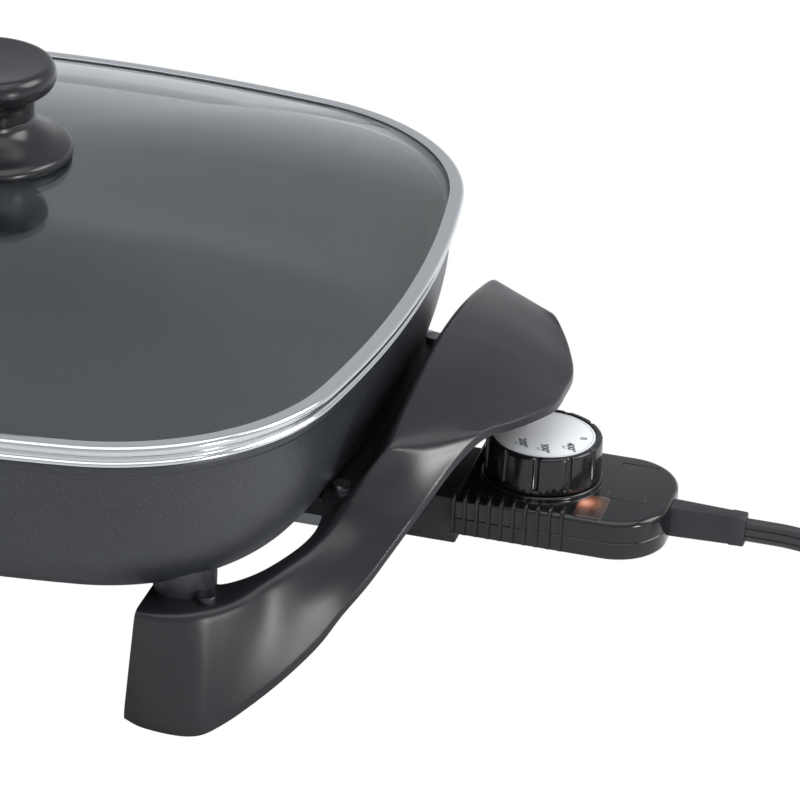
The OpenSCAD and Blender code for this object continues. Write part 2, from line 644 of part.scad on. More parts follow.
module probe_nose() color([0.09, 0.09, 0.1]) at_pan() difference() {
  union() {
    block([nose_x0, -20, pin_z - 7.8], [nose_x1 + 1, 20, pin_z + 6.5]);
    block([nose_x1, -20.5, pin_z - 9.5], [probe_x0, 20.5, pin_z + 8.2]);
    block([probe_x0 - 1, -tongue_half, tongue_z0], [probe_x0 + 4, tongue_half, tongue_z1]);
  }
  along_x([nose_x0 - 1, 0, pin_z], sensor_r + 0.05, 37);
  both_y() {
    along_x([nose_x0 - 1, pin_pitch_half, pin_z], pin_r + 0.5, 10);
    along_x([socket_x0, pin_pitch_half, pin_z], socket_r + 0.05, socket_len);
    along_x([socket_x0 + socket_len - 1, pin_pitch_half, wire_z], wire_r + 0.1, 20);
  }
}

module sensor_tube() color([0.78, 0.79, 0.8]) at_pan()
  along_x([sensor_tip, 0, pin_z], sensor_r, sensor_reach + 35.9);

module pin_receptacles() color([0.8, 0.68, 0.4]) at_pan() both_y() difference() {
  along_x([socket_x0, pin_pitch_half, pin_z], socket_r, socket_len);
  along_x([socket_x0 - 1, pin_pitch_half, pin_z], pin_r + 0.09, socket_len - 1);
}

pocket_z = probe_z0 + probe_wall + 2;
module thermostat_base() color([0.85, 0.83, 0.78]) at_pan() difference() {
  block([base_x0, -16, probe_z0 + probe_wall], [base_x1, 16, probe_zm + 2.5]);
  block([base_x0 + 4, -9, pocket_z], [base_x1 - 4, 9, probe_z1]);
}

module bimetal_strip() color([0.7, 0.66, 0.55]) at_pan()
  block([base_x0 + 4.5, -3, pocket_z], [base_x1 - 4.5, 3, pocket_z + 0.8]);

module contact_arms() color([0.8, 0.68, 0.4]) at_pan() both_y()
  block([base_x0 + 4.5, 6, pocket_z], [base_x1 - 4.5, 6.8, pocket_z + 4]);

module shaft_bush() color([0.8, 0.68, 0.4]) at_pan() difference() {
  union() {
    up_z([dial_x, 0, cavity_z1 - 1.2], bush_r + 1.5, 1.2);
    up_z([dial_x, 0, cavity_z1], bush_r, probe_wall + collar_h);
  }
  up_z([dial_x, 0, cavity_z1 - 3], shaft_r + 0.06, 20);
}

module pilot_lamp() color([0.9, 0.6, 0.3]) at_pan()
  along_x([lens_at[0] + 1.2, lens_at[1] + 4.6, cavity_z1 - 2.6], 2.1, 8);

module lamp_lens() color([1, 0.5, 0.15]) at_pan() lens_form(0, cavity_z1, probe_z1 + lens_up);

module inner_leads() color([0.75, 0.2, 0.15]) at_pan() both_y() {
  along_x([socket_x0 + socket_len, pin_pitch_half, wire_z], wire_r, base_x0 - socket_x0 - socket_len);
  along_x([base_x1, 2.2, lead_z], wire_r, relief_x0 - 2 - base_x1);
}

module strain_relief() color([0.12, 0.12, 0.13]) at_pan() {
  a = relief_half;
  b = relief_rise;
  translate([0, 0, lead_z]) intersection() {
    translate([0, 0, -10]) linear_extrude(20)
      polygon([[relief_x0 - 1, -a], [probe_x1, -a], [lead_x, 0.3 - a], [lead_x, a - 0.3], [probe_x1, a],
        [relief_x0 - 1, a]]);
    rotate([90, 0, 0]) translate([0, 0, -10]) linear_extrude(20)
      polygon([[relief_x0 - 1, -b], [probe_x1, -b], [lead_x, 0.3 - b], [lead_x, b - 0.3], [probe_x1, b],
        [relief_x0 - 1, b]]);
  }
  block([relief_x0 - 2, -5, probe_z0 + probe_wall + 0.1], [relief_x0 - 0.1, 5, cavity_z1 - 0.1]);
}

// ---------------------------------------------------------------- dial

groove_r = 1.25;
groove_off = 0.35;      // the grooves' axes lie this far outside the dial's side
groove_turn = 14;       // angle of the first groove past +X
dial_taper = 0.3;
dial_bevel = 1;
dial_floor = 2;
plate_t = 0.6;
shaft_up = 9.2;         // how far the shaft goes up into the dial
module dial_form() {
  side_h = dial_h - dial_bevel;
  top_r = dial_r - dial_taper;
  translate([0, 0, dial_z0]) cylinder(r1 = dial_r, r2 = top_r, h = side_h, $fn = 96);
  translate([0, 0, dial_z0 + side_h]) cylinder(r1 = top_r, r2 = top_r - dial_bevel, h = dial_bevel, $fn = 96);
}

module dial_knob() color([0.05, 0.05, 0.06]) at_pan() translate([dial_x, 0, 0]) difference() {
  dial_form();
  up_z([0, 0, dial_z1 - 0.3 - plate_t], plate_r + 0.05, plate_t + 2);
  up_z([0, 0, dial_z0 - 1], shaft_r + 0.01, shaft_up + 1.1);
  for (k = [1 : dial_grooves]) rotate([0, 0, groove_turn + 360 * k / dial_grooves])
    translate([dial_r + groove_off, 0, dial_z0]) rotate([0, -atan(dial_taper / dial_h), 0])
      up_z([0, 0, dial_floor], groove_r, dial_h);
}

module dial_plate() color([0.86, 0.87, 0.88]) at_pan()
  up_z([dial_x, 0, dial_z1 - 0.3 - plate_t], plate_r, plate_t);

module dial_shaft() color([0.78, 0.79, 0.8]) at_pan()
  up_z([dial_x, 0, pocket_z + 1], shaft_r, dial_z0 + shaft_up - pocket_z - 1);

// ---------------------------------------------------------------- lead

rest_z = lead_w / 2 + 0.05;
turn_pitch = lead_w + 0.5;

// The run from the strain relief: [along, down], where down is drawn for a drop of run_drop
run_drop = 35.2;
run_route = [[0, 0], [8, 0], [16, 0.2], [26, 1.6], [36, 5.2], [46, 11.5], [55, 18.5], [64, 25.5],
  [74, 31.5], [84, 34.6], [94, 35.2], [106, 35.2]];
run_points = smooth([for (p = run_route)
  [lead_x + p[0], 0, lead_z - p[1] * (lead_z - rest_z) / run_drop]], 2);

// The coil's middle, and its lead from one straight end to the other
end_len = 8.5;
coil_x = lead_x + 106 + end_len;
coil_y = coil_r;
coil_in = 4;            // half of what the turns draw in
function climb(a) = a < 270 ? 0 : a > 450 ? 1 : (1 - cos(a - 270)) / 2;
coil_points = concat([[coil_x - end_len, 0, rest_z]],
  [for (a = [0 : 15 : 720]) let (r = coil_r - coil_in + coil_in * cos(a / 2))
    [coil_x + r * sin(a), coil_y - r * cos(a), rest_z + turn_pitch * climb(a)]],
  [[coil_x + end_len, 0, rest_z + turn_pitch]]);

// The tail from the coil to the plug: [x, y from the coil's middle for a coil_r of 49, share of the rise]
tail_route = [[8.5, -49, 1], [20, -48.2, 1], [32, -44.2, 1], [43, -36.6, 1], [51.5, -26, 0.9],
  [57.2, -13, 0.66], [60, 0, 0.4], [60.3, 13, 0.22], [57.4, 25, 0.2], [52, 35, 0.28], [47.2, 43, 0.355],
  [40, 55, 0.355]];
tail_scale = coil_r / 49;
tail_points = smooth([for (p = tail_route)
  [coil_x + end_len + (p[0] - end_len) * tail_scale,
   coil_y + p[1] * tail_scale,
   rest_z + turn_pitch * p[2]]], 2);

// Least gap of the coil to itself, between places at least half a turn apart
coil_gap = min([for (i = [1 : len(coil_points) - 14]) for (j = [i + 12 : len(coil_points) - 2])
  let (d = coil_points[i] - coil_points[j]) max(norm([d[0], d[1]]) - lead_t, abs(d[2]) - lead_w)]);
echo(coil_gap = coil_gap);

function lead_section(sides) = let (a = lead_t / 2, b = lead_w / 2, c = 1.5) sides == 8
  ? [[a, b - c], [a - c, b], [c - a, b], [-a, b - c], [-a, c - b], [c - a, -b], [a - c, -b], [a, c - b]]
  : [[a, b - c], [0, b], [-a, b - c], [-a, c - b], [0, -b], [a, c - b]];
// Carries the lead's flat section along a route, its width upright
module lead_tube(points, sides) {
  n = len(points) - 1;
  skin([for (i = [0 : n]) let (t = unit(points[min(i + 1, n)] - points[max(i - 1, 0)]),
                               s = unit(cross([0, 0, 1], t)), u = cross(t, s))
    [for (q = lead_section(sides)) points[i] + q[0] * s + q[1] * u]]);
}

module lead_run() color([0.1, 0.1, 0.11]) at_pan() lead_tube(run_points, 8);
module lead_coil() color([0.1, 0.1, 0.11]) at_pan() lead_tube(coil_points, 6);
module lead_tail() color([0.1, 0.1, 0.11]) at_pan() lead_tube(tail_points, 8);

plug_len = 42;
plug_half = 12;
plug_h = 15;
blade = [16, 1.5, 6.3];
blade_pitch = 12.7;
tail_end = tail_points[len(tail_points) - 1];
tail_way = tail_end - tail_points[len(tail_points) - 2];
module at_plug() translate(tail_end) rotate([0, 0, atan2(tail_way[1], tail_way[0])]) children();

module plug_body() color([0.1, 0.1, 0.11]) at_pan() at_plug() {
  w = plug_half;
  h = plug_h / 2;
  intersection() {
    translate([0, 0, -h]) linear_extrude(plug_h)
      polygon([[0, -4], [10, -6], [16, -w], [plug_len - 4, -w], [plug_len, 3 - w], [plug_len, w - 3],
        [plug_len - 4, w], [16, w], [10, 6], [0, 4]]);
    rotate([90, 0, 0]) translate([0, 0, -w - 1]) linear_extrude(2 * w + 2)
      polygon([[0, -5], [12, -h], [plug_len, -h], [plug_len, h], [12, h], [0, 5]]);
  }
}

module plug_blades() color([0.8, 0.68, 0.4]) at_pan() at_plug() for (s = [-1, 1])
  translate([plug_len, s * blade_pitch / 2 - blade[1] / 2, -blade[2] / 2]) cube(blade);

pan();
element_bead();
heating_element();
element_seals();
element_pins();
sensor_well();
socket_guard();
guard_rivets();
leg_posts();
side_lugs();
right_handle();
left_handle();
leg_screws();
side_screws();
lid_glass();
lid_band();
knob_base();
knob_grip();
knob_screw();
knob_washer();
knob_gasket();
probe_lower();
probe_upper();
probe_nose();
sensor_tube();
pin_receptacles();
thermostat_base();
bimetal_strip();
contact_arms();
shaft_bush();
pilot_lamp();
lamp_lens();
housing_screws();
inner_leads();
strain_relief();
lead_run();
lead_coil();
lead_tail();
plug_body();
plug_blades();
dial_knob();
dial_plate();
dial_shaft();
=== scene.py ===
"""Looks of the square electric skillet: cast pan, glass lid, moulded handles, plug-in control and lead.

Places are written in millimetres from the middle of the pan, with z up from the table. Every mesh is
moved by PAN_MID and scaled by MM as it is made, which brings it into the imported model's frame.
"""
import math

import bmesh
import bpy
from mathutils import Matrix, Vector


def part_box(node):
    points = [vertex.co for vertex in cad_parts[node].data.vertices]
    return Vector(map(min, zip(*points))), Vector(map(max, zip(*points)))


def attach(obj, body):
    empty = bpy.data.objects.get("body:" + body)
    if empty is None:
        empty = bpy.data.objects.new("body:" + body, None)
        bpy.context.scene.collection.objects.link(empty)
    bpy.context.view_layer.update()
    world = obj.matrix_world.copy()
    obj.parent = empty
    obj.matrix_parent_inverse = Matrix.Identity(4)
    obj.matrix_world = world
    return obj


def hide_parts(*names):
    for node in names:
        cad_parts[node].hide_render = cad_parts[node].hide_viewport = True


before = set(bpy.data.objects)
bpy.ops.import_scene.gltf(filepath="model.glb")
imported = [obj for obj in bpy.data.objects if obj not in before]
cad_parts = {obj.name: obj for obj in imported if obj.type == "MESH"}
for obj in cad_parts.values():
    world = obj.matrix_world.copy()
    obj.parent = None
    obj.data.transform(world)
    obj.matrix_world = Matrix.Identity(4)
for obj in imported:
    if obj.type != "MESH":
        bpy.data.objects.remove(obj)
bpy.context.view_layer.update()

MM = 0.001


def node_box(name):
    """A CAD node's lowest and highest corner, in millimetres from the middle of the pan."""
    low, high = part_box(name)
    return [Vector((p[0] / MM - PAN_MID, p[1] / MM, p[2] / MM)) for p in (low, high)]


pan_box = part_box("pan")
PAN_MID = (pan_box[0][0] + pan_box[1][0]) / 2 / MM
PAN_HALF = (pan_box[1][0] - pan_box[0][0]) / 2 / MM
LEG_HEIGHT = pan_box[0][2] / MM
RIM_Z = pan_box[1][2] / MM


# ------------------------------------------------------------------ mesh helpers

def frame_point(p):
    """A place in millimetres from the middle of the pan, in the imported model's frame and in metres."""
    return Vector(((p[0] + PAN_MID) * MM, p[1] * MM, p[2] * MM))


def skin(rings, loop=False):
    """Quads over rings of equal count, closed by end faces. A loop runs on into its first ring."""
    bm = bmesh.new()
    rows = [[bm.verts.new(p) for p in ring] for ring in rings]
    count = len(rings[0])
    pairs = list(zip(rows, rows[1:])) + ([(rows[-1], rows[0])] if loop else [])
    for low, high in pairs:
        for j in range(count):
            k = (j + 1) % count
            bm.faces.new((low[j], low[k], high[k], high[j]))
    if not loop:
        bm.faces.new(list(reversed(rows[0])))
        bm.faces.new(rows[-1])
    return bm


def sheet(rows):
    """Open grid of quads through rows of equal count."""
    bm = bmesh.new()
    grid = [[bm.verts.new(p) for p in row] for row in rows]
    for low, high in zip(grid, grid[1:]):
        for j in range(len(low) - 1):
            bm.faces.new((low[j], low[j + 1], high[j + 1], high[j]))
    return bm


def revolve(profile, centre=(0, 0), steps=96, loop=False):
    """Spins a profile of (radius, z) about the upright axis through centre. Open ends lie on the axis."""
    bm = bmesh.new()
    if not loop:
        profile = [(0, profile[0][1])] * (profile[0][0] > 0) + list(profile)
        profile = profile + [(0, profile[-1][1])] * (profile[-1][0] > 0)
    verts = [bm.verts.new((centre[0] + p[0], centre[1], p[1])) for p in profile]
    edges = [bm.edges.new(pair) for pair in zip(verts, verts[1:])]
    if loop:
        edges.append(bm.edges.new((verts[-1], verts[0])))
    bmesh.ops.spin(bm, geom=verts + edges, cent=(centre[0], centre[1], 0), axis=(0, 0, 1),
                   angle=2 * math.pi, steps=steps, use_merge=True)
    bmesh.ops.remove_doubles(bm, verts=bm.verts[:], dist=1e-4)
    bmesh.ops.recalc_face_normals(bm, faces=bm.faces[:])
    return bm


def box(low, high, round_by=0.0, segments=2):
    """Box from its lowest to its highest corner, with its edges rounded."""
    bm = bmesh.new()
    bmesh.ops.create_cube(bm, size=1.0)
    for v in bm.verts:
        v.co = Vector([low[k] + (v.co[k] + 0.5) * (high[k] - low[k]) for k in range(3)])
    if round_by:
        bmesh.ops.bevel(bm, geom=bm.edges[:], offset=round_by, segments=segments, profile=0.5,
                        affect="EDGES", material=-1)
    return bm


def joined(*parts):
    """One bmesh out of several, each left as its own shell."""
    whole = bmesh.new()
    for part in parts:
        mesh = bpy.data.meshes.new("part")
        bmesh.ops.recalc_face_normals(part, faces=part.faces[:])
        part.to_mesh(mesh)
        part.free()
        whole.from_mesh(mesh)
        bpy.data.meshes.remove(mesh)
    return whole


def piece(name, bm, material, body, replaces=(), sharp=38, weld=True):
    """Makes an object from a bmesh in millimetres, rides it on its body and gives it its finish."""
    for v in bm.verts:
        v.co = frame_point(v.co)
    if weld:
        bmesh.ops.remove_doubles(bm, verts=bm.verts[:], dist=1e-6)
        bmesh.ops.recalc_face_normals(bm, faces=bm.faces[:])
    limit = math.radians(sharp)
    for edge in bm.edges:
        edge.smooth = len(edge.link_faces) == 2 and edge.calc_face_angle(0) < limit
    for face in bm.faces:
        face.smooth = True
    mesh = bpy.data.meshes.new(name)
    bm.to_mesh(mesh)
    bm.free()
    thing = bpy.data.objects.new(name, mesh)
    bpy.context.scene.collection.objects.link(thing)
    mesh.materials.append(material)
    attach(thing, body)
    if replaces:
        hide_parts(*replaces)
    return thing


def between(p0, p1, p2, p3, t):
    """Point on the smooth row from p1 to p2."""
    p0, p1, p2, p3 = (Vector(p) for p in (p0, p1, p2, p3))
    return (2 * p1 + (p2 - p0) * t + (2 * p0 - 5 * p1 + 4 * p2 - p3) * t * t
            + (3 * p1 - p0 - 3 * p2 + p3) * t ** 3) / 2


def smooth_row(points, steps):
    """Smooth row through the points, with so many steps between neighbours."""
    last = len(points) - 1
    row = [between(points[max(i - 1, 0)], points[i], points[i + 1], points[min(i + 2, last)], k / steps)
           for i in range(last) for k in range(steps)]
    return row + [Vector(points[last])]


CORNER_SHARE = 0.45


def eased_corner(before, corner, after, radius, steps):
    """Points of a round corner of about that radius. It takes up at most CORNER_SHARE of either side."""
    before, corner, after = Vector(before), Vector(corner), Vector(after)
    start = corner + (before - corner) * min(CORNER_SHARE, radius / max((before - corner).length, 1e-6))
    end = corner + (after - corner) * min(CORNER_SHARE, radius / max((after - corner).length, 1e-6))
    return [start * (1 - t) ** 2 + corner * 2 * t * (1 - t) + end * t * t
            for t in (k / steps for k in range(steps + 1))]


def rounded(profile, radii, steps=4, closed=False):
    """The profile with its corners rounded. radii has one radius per point, 0 for a sharp one."""
    count = len(profile)
    out = []
    for i, point in enumerate(profile):
        ends = not closed and i in (0, count - 1)
        if ends or not radii[i]:
            out.append(Vector(point))
            continue
        out += eased_corner(profile[i - 1], point, profile[(i + 1) % count], radii[i], steps)
    return out


# ------------------------------------------------------------------ camera

CAMERA_MM = (498.9, -1375.4, 776.8)     # from the middle of the pan
CAMERA_AZIMUTH = 14.076                 # degrees, from straight in front towards the right
CAMERA_ELEVATION = 26.594
CAMERA_ROLL = 2.87
CAMERA_LENS = 203.9
SENSOR_WIDTH = 36
CLIP_END = 20


def make_camera():
    """The photograph's camera, from its place, the way it looks and its roll."""
    az, el, roll = (math.radians(a) for a in (CAMERA_AZIMUTH, CAMERA_ELEVATION, CAMERA_ROLL))
    right = Vector((math.cos(az), math.sin(az), 0))
    back = Vector((math.sin(az) * math.cos(el), -math.cos(az) * math.cos(el), math.sin(el)))
    up = back.cross(right)
    rolled_right = right * math.cos(roll) + up * math.sin(roll)
    rolled_up = up * math.cos(roll) - right * math.sin(roll)
    data = bpy.data.cameras.new("camera")
    data.lens = CAMERA_LENS
    data.sensor_width = SENSOR_WIDTH
    data.clip_end = CLIP_END
    camera = bpy.data.objects.new("camera", data)
    turn = Matrix((rolled_right, rolled_up, back)).transposed().to_4x4()
    camera.matrix_world = Matrix.Translation(frame_point(CAMERA_MM)) @ turn
    bpy.context.scene.collection.objects.link(camera)
    bpy.context.scene.camera = camera


# ------------------------------------------------------------------ materials

def colour(code):
    """Linear colour of an sRGB hex code."""
    parts = [int(code[k:k + 2], 16) / 255 for k in (0, 2, 4)]
    return [p / 12.92 if p <= 0.04045 else ((p + 0.055) / 1.055) ** 2.4 for p in parts] + [1.0]


def add(tree, kind, inputs=None, **settings):
    """Adds a node, sets its fields and its inputs. An input may be a value or another node's output."""
    node = tree.nodes.new(kind)
    for key, value in settings.items():
        setattr(node, key, value)
    for key, value in (inputs or {}).items():
        if isinstance(value, bpy.types.NodeSocket):
            tree.links.new(value, node.inputs[key])
        else:
            node.inputs[key].default_value = value
    return node


def maths(tree, operation, *values):
    """A number out of one or two others."""
    return add(tree, "ShaderNodeMath", dict(enumerate(values)), operation=operation).outputs[0]


def distance(tree, point):
    """How far the shaded place is from a point, both in the frame."""
    place = add(tree, "ShaderNodeTexCoord").outputs["Object"]
    middle = add(tree, "ShaderNodeVectorMath", {0: place, 1: point}, operation="SUBTRACT").outputs[0]
    return add(tree, "ShaderNodeVectorMath", {0: middle}, operation="LENGTH").outputs["Value"]


def ramp(tree, factor, stops):
    """Colour ramp over a factor. stops are (place, hex code)."""
    node = add(tree, "ShaderNodeValToRGB", {"Fac": factor})
    line = node.color_ramp.elements
    while len(line) < len(stops):
        line.new(0.5)
    for element, (place, code) in zip(line, stops):
        element.position = place
        element.color = colour(code)
    return node.outputs["Color"]


def noise(tree, scale, detail=3.0, rough=0.5, stretch=(1, 1, 1)):
    """Noise in object coordinates, with scale in waves per metre."""
    place = add(tree, "ShaderNodeTexCoord").outputs["Object"]
    mapped = add(tree, "ShaderNodeMapping", {"Vector": place, "Scale": stretch}).outputs["Vector"]
    node = add(tree, "ShaderNodeTexNoise",
               {"Vector": mapped, "Scale": scale, "Detail": detail, "Roughness": rough})
    return node.outputs["Fac"]


WIDE_WAVES = 14             # waves per metre of the slow change of tone


def surface(name, base, rough, metallic=0.0, vary=0.05, grain=900, bump=0.02, rough_vary=0.06,
            stretch=(1, 1, 1), bump_size=0.0002, **sockets):
    """A finish with slight changes of tone and gloss and a fine grain.

    base is a hex code, or a function of the tree that gives a colour output. Further sockets of the
    shader are set by name, with spaces as underscores.
    """
    material = bpy.data.materials.new(name)
    material.use_nodes = True
    tree = material.node_tree
    tree.nodes.clear()
    grain_fac = noise(tree, grain, 4.0, 0.6, stretch)
    wide_fac = noise(tree, WIDE_WAVES, 3.0)
    if callable(base):
        tone = base(tree)
    else:
        tone = add(tree, "ShaderNodeRGB").outputs[0]
        tone.default_value = colour(base)
    level = add(tree, "ShaderNodeMapRange", {0: wide_fac, 3: 1 - vary, 4: 1 + vary}).outputs[0]
    toned = add(tree, "ShaderNodeHueSaturation", {"Color": tone, "Value": level}).outputs[0]
    gloss = add(tree, "ShaderNodeMapRange",
                {0: grain_fac, 3: rough - rough_vary, 4: rough + rough_vary}).outputs[0]
    raised = add(tree, "ShaderNodeBump",
                 {"Height": grain_fac, "Strength": bump, "Distance": bump_size}).outputs[0]
    inputs = {"Base Color": toned, "Roughness": gloss, "Metallic": metallic, "Normal": raised}
    inputs.update({key.replace("_", " "): value for key, value in sockets.items()})
    shader = add(tree, "ShaderNodeBsdfPrincipled", inputs)
    add(tree, "ShaderNodeOutputMaterial", {"Surface": shader.outputs[0]})
    return material


FLECK_CELLS = 2100.0        # cells per metre
FLECK_SIZE = 0.3            # a fleck's reach, as a share of a cell
FLECK_BARE = 0.72           # the share of cells without one


def coated_tone(tree):
    """Charcoal coat with fine metallic flecks, one in some of the cells."""
    place = add(tree, "ShaderNodeTexCoord").outputs["Object"]
    cells = add(tree, "ShaderNodeTexVoronoi", {"Vector": place, "Scale": FLECK_CELLS}, feature="F1")
    near = maths(tree, "LESS_THAN", cells.outputs["Distance"], FLECK_SIZE)
    pick = add(tree, "ShaderNodeSeparateColor", {"Color": cells.outputs["Color"]}).outputs["Red"]
    some = maths(tree, "GREATER_THAN", pick, FLECK_BARE)
    return ramp(tree, maths(tree, "MULTIPLY", near, some), [(0.0, "2a2c30"), (1.0, "54585c")])


def cooked_tone(tree):
    """Steel sheath that heat has dulled unevenly."""
    return ramp(tree, noise(tree, 60, 4.0), [(0.3, "4a4441"), (0.7, "6f6964")])


BRUSH_WAVES = 9000.0        # waves per metre out from the plate's middle
RING_IN = 0.9               # the printed ring line, in from the plate's edge
RING_HALF = 0.13


def plate_tone(tree):
    """Pale satin plate with a faint circular brushing and a thin printed ring near its edge."""
    out = distance(tree, frame_point((DIAL_X, 0, PLATE_TOP)))
    rings = add(tree, "ShaderNodeTexNoise", {"W": out, "Scale": BRUSH_WAVES, "Detail": 2.0},
                noise_dimensions="1D").outputs["Fac"]
    off = maths(tree, "SUBTRACT", out, (PLATE_R - RING_IN) * MM)
    line = maths(tree, "LESS_THAN", maths(tree, "ABSOLUTE", off), RING_HALF * MM)
    brushed = ramp(tree, rings, [(0.3, "e6e8ea"), (0.7, "f0f1f3")])
    return add(tree, "ShaderNodeMixRGB",
               {"Fac": line, "Color1": brushed, "Color2": colour("b4b7ba")}).outputs[0]


PAINTED_GLOW_REACH = 12             # from the middle of the painted glow on the lens to where the lens is darkest


def smoky_lens_and_painted_glow(tree):
    """Smoky orange lens, its own dark tone at the edges, with the lamp's light painted in as a pale glow
    over the lamp.
    """
    out = distance(tree, frame_point((LENS_LOW[0] + 2.6, -15.2, LENS_HIGH[2])))
    far = maths(tree, "DIVIDE", out, PAINTED_GLOW_REACH * MM)
    # The pale stops are painted glow from the lamp behind; the dark stops are the lens's own smoky tone.
    return ramp(tree, far, [(0.0, "f8ba9c"), (0.15, "d08e74"), (0.32, "84503a"), (0.55, "4a342d"),
                            (1.0, "2b2524")])


# ------------------------------------------------------------------ places taken from the frame

DIAL_LOW, DIAL_HIGH = node_box("dial_knob")
DIAL_X = (DIAL_LOW[0] + DIAL_HIGH[0]) / 2
DIAL_R = (DIAL_HIGH[0] - DIAL_LOW[0]) / 2
LOWER_LOW, LOWER_HIGH = node_box("probe_lower")
LEAD_X = node_box("strain_relief")[1][0]
LEAD_Z = LOWER_HIGH[2] + 0.3
LENS_LOW, LENS_HIGH = node_box("lamp_lens")
GLASS_TOP = node_box("lid_glass")[1][2]
KNOB_Z = node_box("knob_base")[0][2] + 0.6      # the saucer's underside, above its thin foot ring
GRIP_Z = node_box("knob_grip")[0][2]
KNOB_TOP = node_box("knob_grip")[1][2]
SAUCER_R = node_box("knob_base")[1][0]
KNOB_R = node_box("knob_grip")[1][0]


# ------------------------------------------------------------------ rim outline

SIDE_BOW_R = 495.0          # radius of the slight bow of each side, at the rim
CORNER_R = 82.0             # radius of the pan's corners, at the rim
LID_OVERHANG = 3.0

BOW_P = SIDE_BOW_R - PAN_HALF       # a side's centre, beyond the middle of the pan
BOW_Q = SIDE_BOW_R - CORNER_R
CORNER_C = (math.sqrt(2 * BOW_Q ** 2 - BOW_P ** 2) - BOW_P) / 2     # a corner's centre, in x and y
BOW_A = math.atan2(CORNER_C, CORNER_C + BOW_P)                      # half a side's arc
SIDE_STEPS = 10
CORNER_STEPS = 26


def outline(inset, z):
    """The bowed square of the rim, drawn in by inset, at height z."""
    quarter = []
    for k in range(-SIDE_STEPS, SIDE_STEPS):
        a = BOW_A * k / SIDE_STEPS
        r = SIDE_BOW_R - inset
        quarter.append((math.cos(a) * r - BOW_P, math.sin(a) * r))
    for k in range(CORNER_STEPS):
        a = BOW_A + (math.pi / 2 - 2 * BOW_A) * k / CORNER_STEPS
        r = CORNER_R - inset
        quarter.append((CORNER_C + math.cos(a) * r, CORNER_C + math.sin(a) * r))
    ring = []
    for turn in range(4):
        c, s = [(1, 0), (0, 1), (-1, 0), (0, -1)][turn]
        ring += [Vector((c * x - s * y, s * x + c * y, z)) for x, y in quarter]
    return ring


def eased(inset, radius, share, z):
    """The outline drawn in towards a circle of that radius, by a share."""
    ring = []
    for p in outline(inset, z):
        f = 1 - share + share * radius / math.hypot(p.x, p.y)
        ring.append(Vector((p.x * f, p.y * f, z)))
    return ring


# ------------------------------------------------------------------ lead

LEAD_W = 8.5
LEAD_T = 4.8
LEAD_GROOVE = 0.55
REST_Z = LEAD_W / 2 + 0.05          # its middle, where it lies on the table
TURN_PITCH = LEAD_W + 0.5           # a second turn lies on the first
# The run down to the table: along, and down out of RUN_DROP
RUN_DROP = 35.2
RUN_ROUTE = [(0, 0), (8, 0), (16, 0.2), (26, 1.6), (36, 5.2), (46, 11.5), (55, 18.5), (64, 25.5),
             (74, 31.5), (84, 34.6), (94, 35.2), (106, 35.2)]
END_LEN = 8.5
COIL_R = 49.0
COIL_IN = 4.0                       # half of what the coil's radius changes by over a turn
COIL_TURNS = 2
COIL_STEP = 5
COIL_X = LEAD_X + RUN_ROUTE[-1][0] + END_LEN
# The tail to the plug: x and y from the coil's middle, and its height as a share of the pitch
TAIL_ROUTE = [(8.5, -49, 1), (20, -48.2, 1), (32, -44.2, 1), (43, -36.6, 1), (51.5, -26, 0.9),
              (57.2, -13, 0.66), (60, 0, 0.4), (60.3, 13, 0.22), (57.4, 25, 0.2), (52, 35, 0.28),
              (47.2, 43, 0.355), (40, 55, 0.355)]


def lead_path():
    """The lead's middle line: the run down to the table, the put-away coil and the tail to the plug."""
    fall = (LEAD_Z - REST_Z) / RUN_DROP
    run = smooth_row([(LEAD_X + along, 0, LEAD_Z - down * fall) for along, down in RUN_ROUTE], 3)
    coil = []
    for degrees in range(0, COIL_TURNS * 360 + 1, COIL_STEP):
        a = math.radians(degrees)
        r = COIL_R - COIL_IN + COIL_IN * math.cos(a / 2)
        climb = (1 - math.cos(min(max(a - 1.5 * math.pi, 0), math.pi))) / 2
        coil.append(Vector((COIL_X + r * math.sin(a), COIL_R - r * math.cos(a),
                            REST_Z + TURN_PITCH * climb)))
    tail = smooth_row([(COIL_X + x, COIL_R + y, REST_Z + TURN_PITCH * share)
                       for x, y, share in TAIL_ROUTE], 3)
    return run + coil + tail


def lead_section():
    """Flat lead, its width upright, with two shallow lengthwise grooves in either side."""
    a, b = LEAD_T / 2, LEAD_W / 2
    deep = a - LEAD_GROOVE
    side = [(a, -b + a), (a, -1.9), (deep, -1.45), (a, -1.0), (a, 1.0), (deep, 1.45), (a, 1.9), (a, b - a)]
    top = [(a * math.cos(t), b - a + a * math.sin(t)) for t in map(math.radians, range(22, 170, 22))]
    half = side + top
    return half + [(-x, -y) for x, y in half]


def make_lead(rubber):
    """The lead from the strain relief to the plug, as one soft cord."""
    path = lead_path()
    rings = []
    for i, p in enumerate(path):
        along = (path[min(i + 1, len(path) - 1)] - path[max(i - 1, 0)]).normalized()
        side = Vector((0, 0, 1)).cross(along).normalized()
        up = along.cross(side)
        rings.append([p + side * x + up * y for x, y in lead_section()])
    lead = piece("lead", skin(rings), rubber, "probe",
                 replaces=("lead_run", "lead_coil", "lead_tail"), sharp=35)
    return lead


# ------------------------------------------------------------------ pan

ROUND_W = 32.4              # the round from the wall to the floor: its width and height outside
ROUND_H = 45.0
ROUND_LESS = 3              # how much narrower it is inside
ROUND_STEPS = 24
WALL_IN = 1.4
PAN_WALL = 3.2
PAN_FLOOR = 4.6


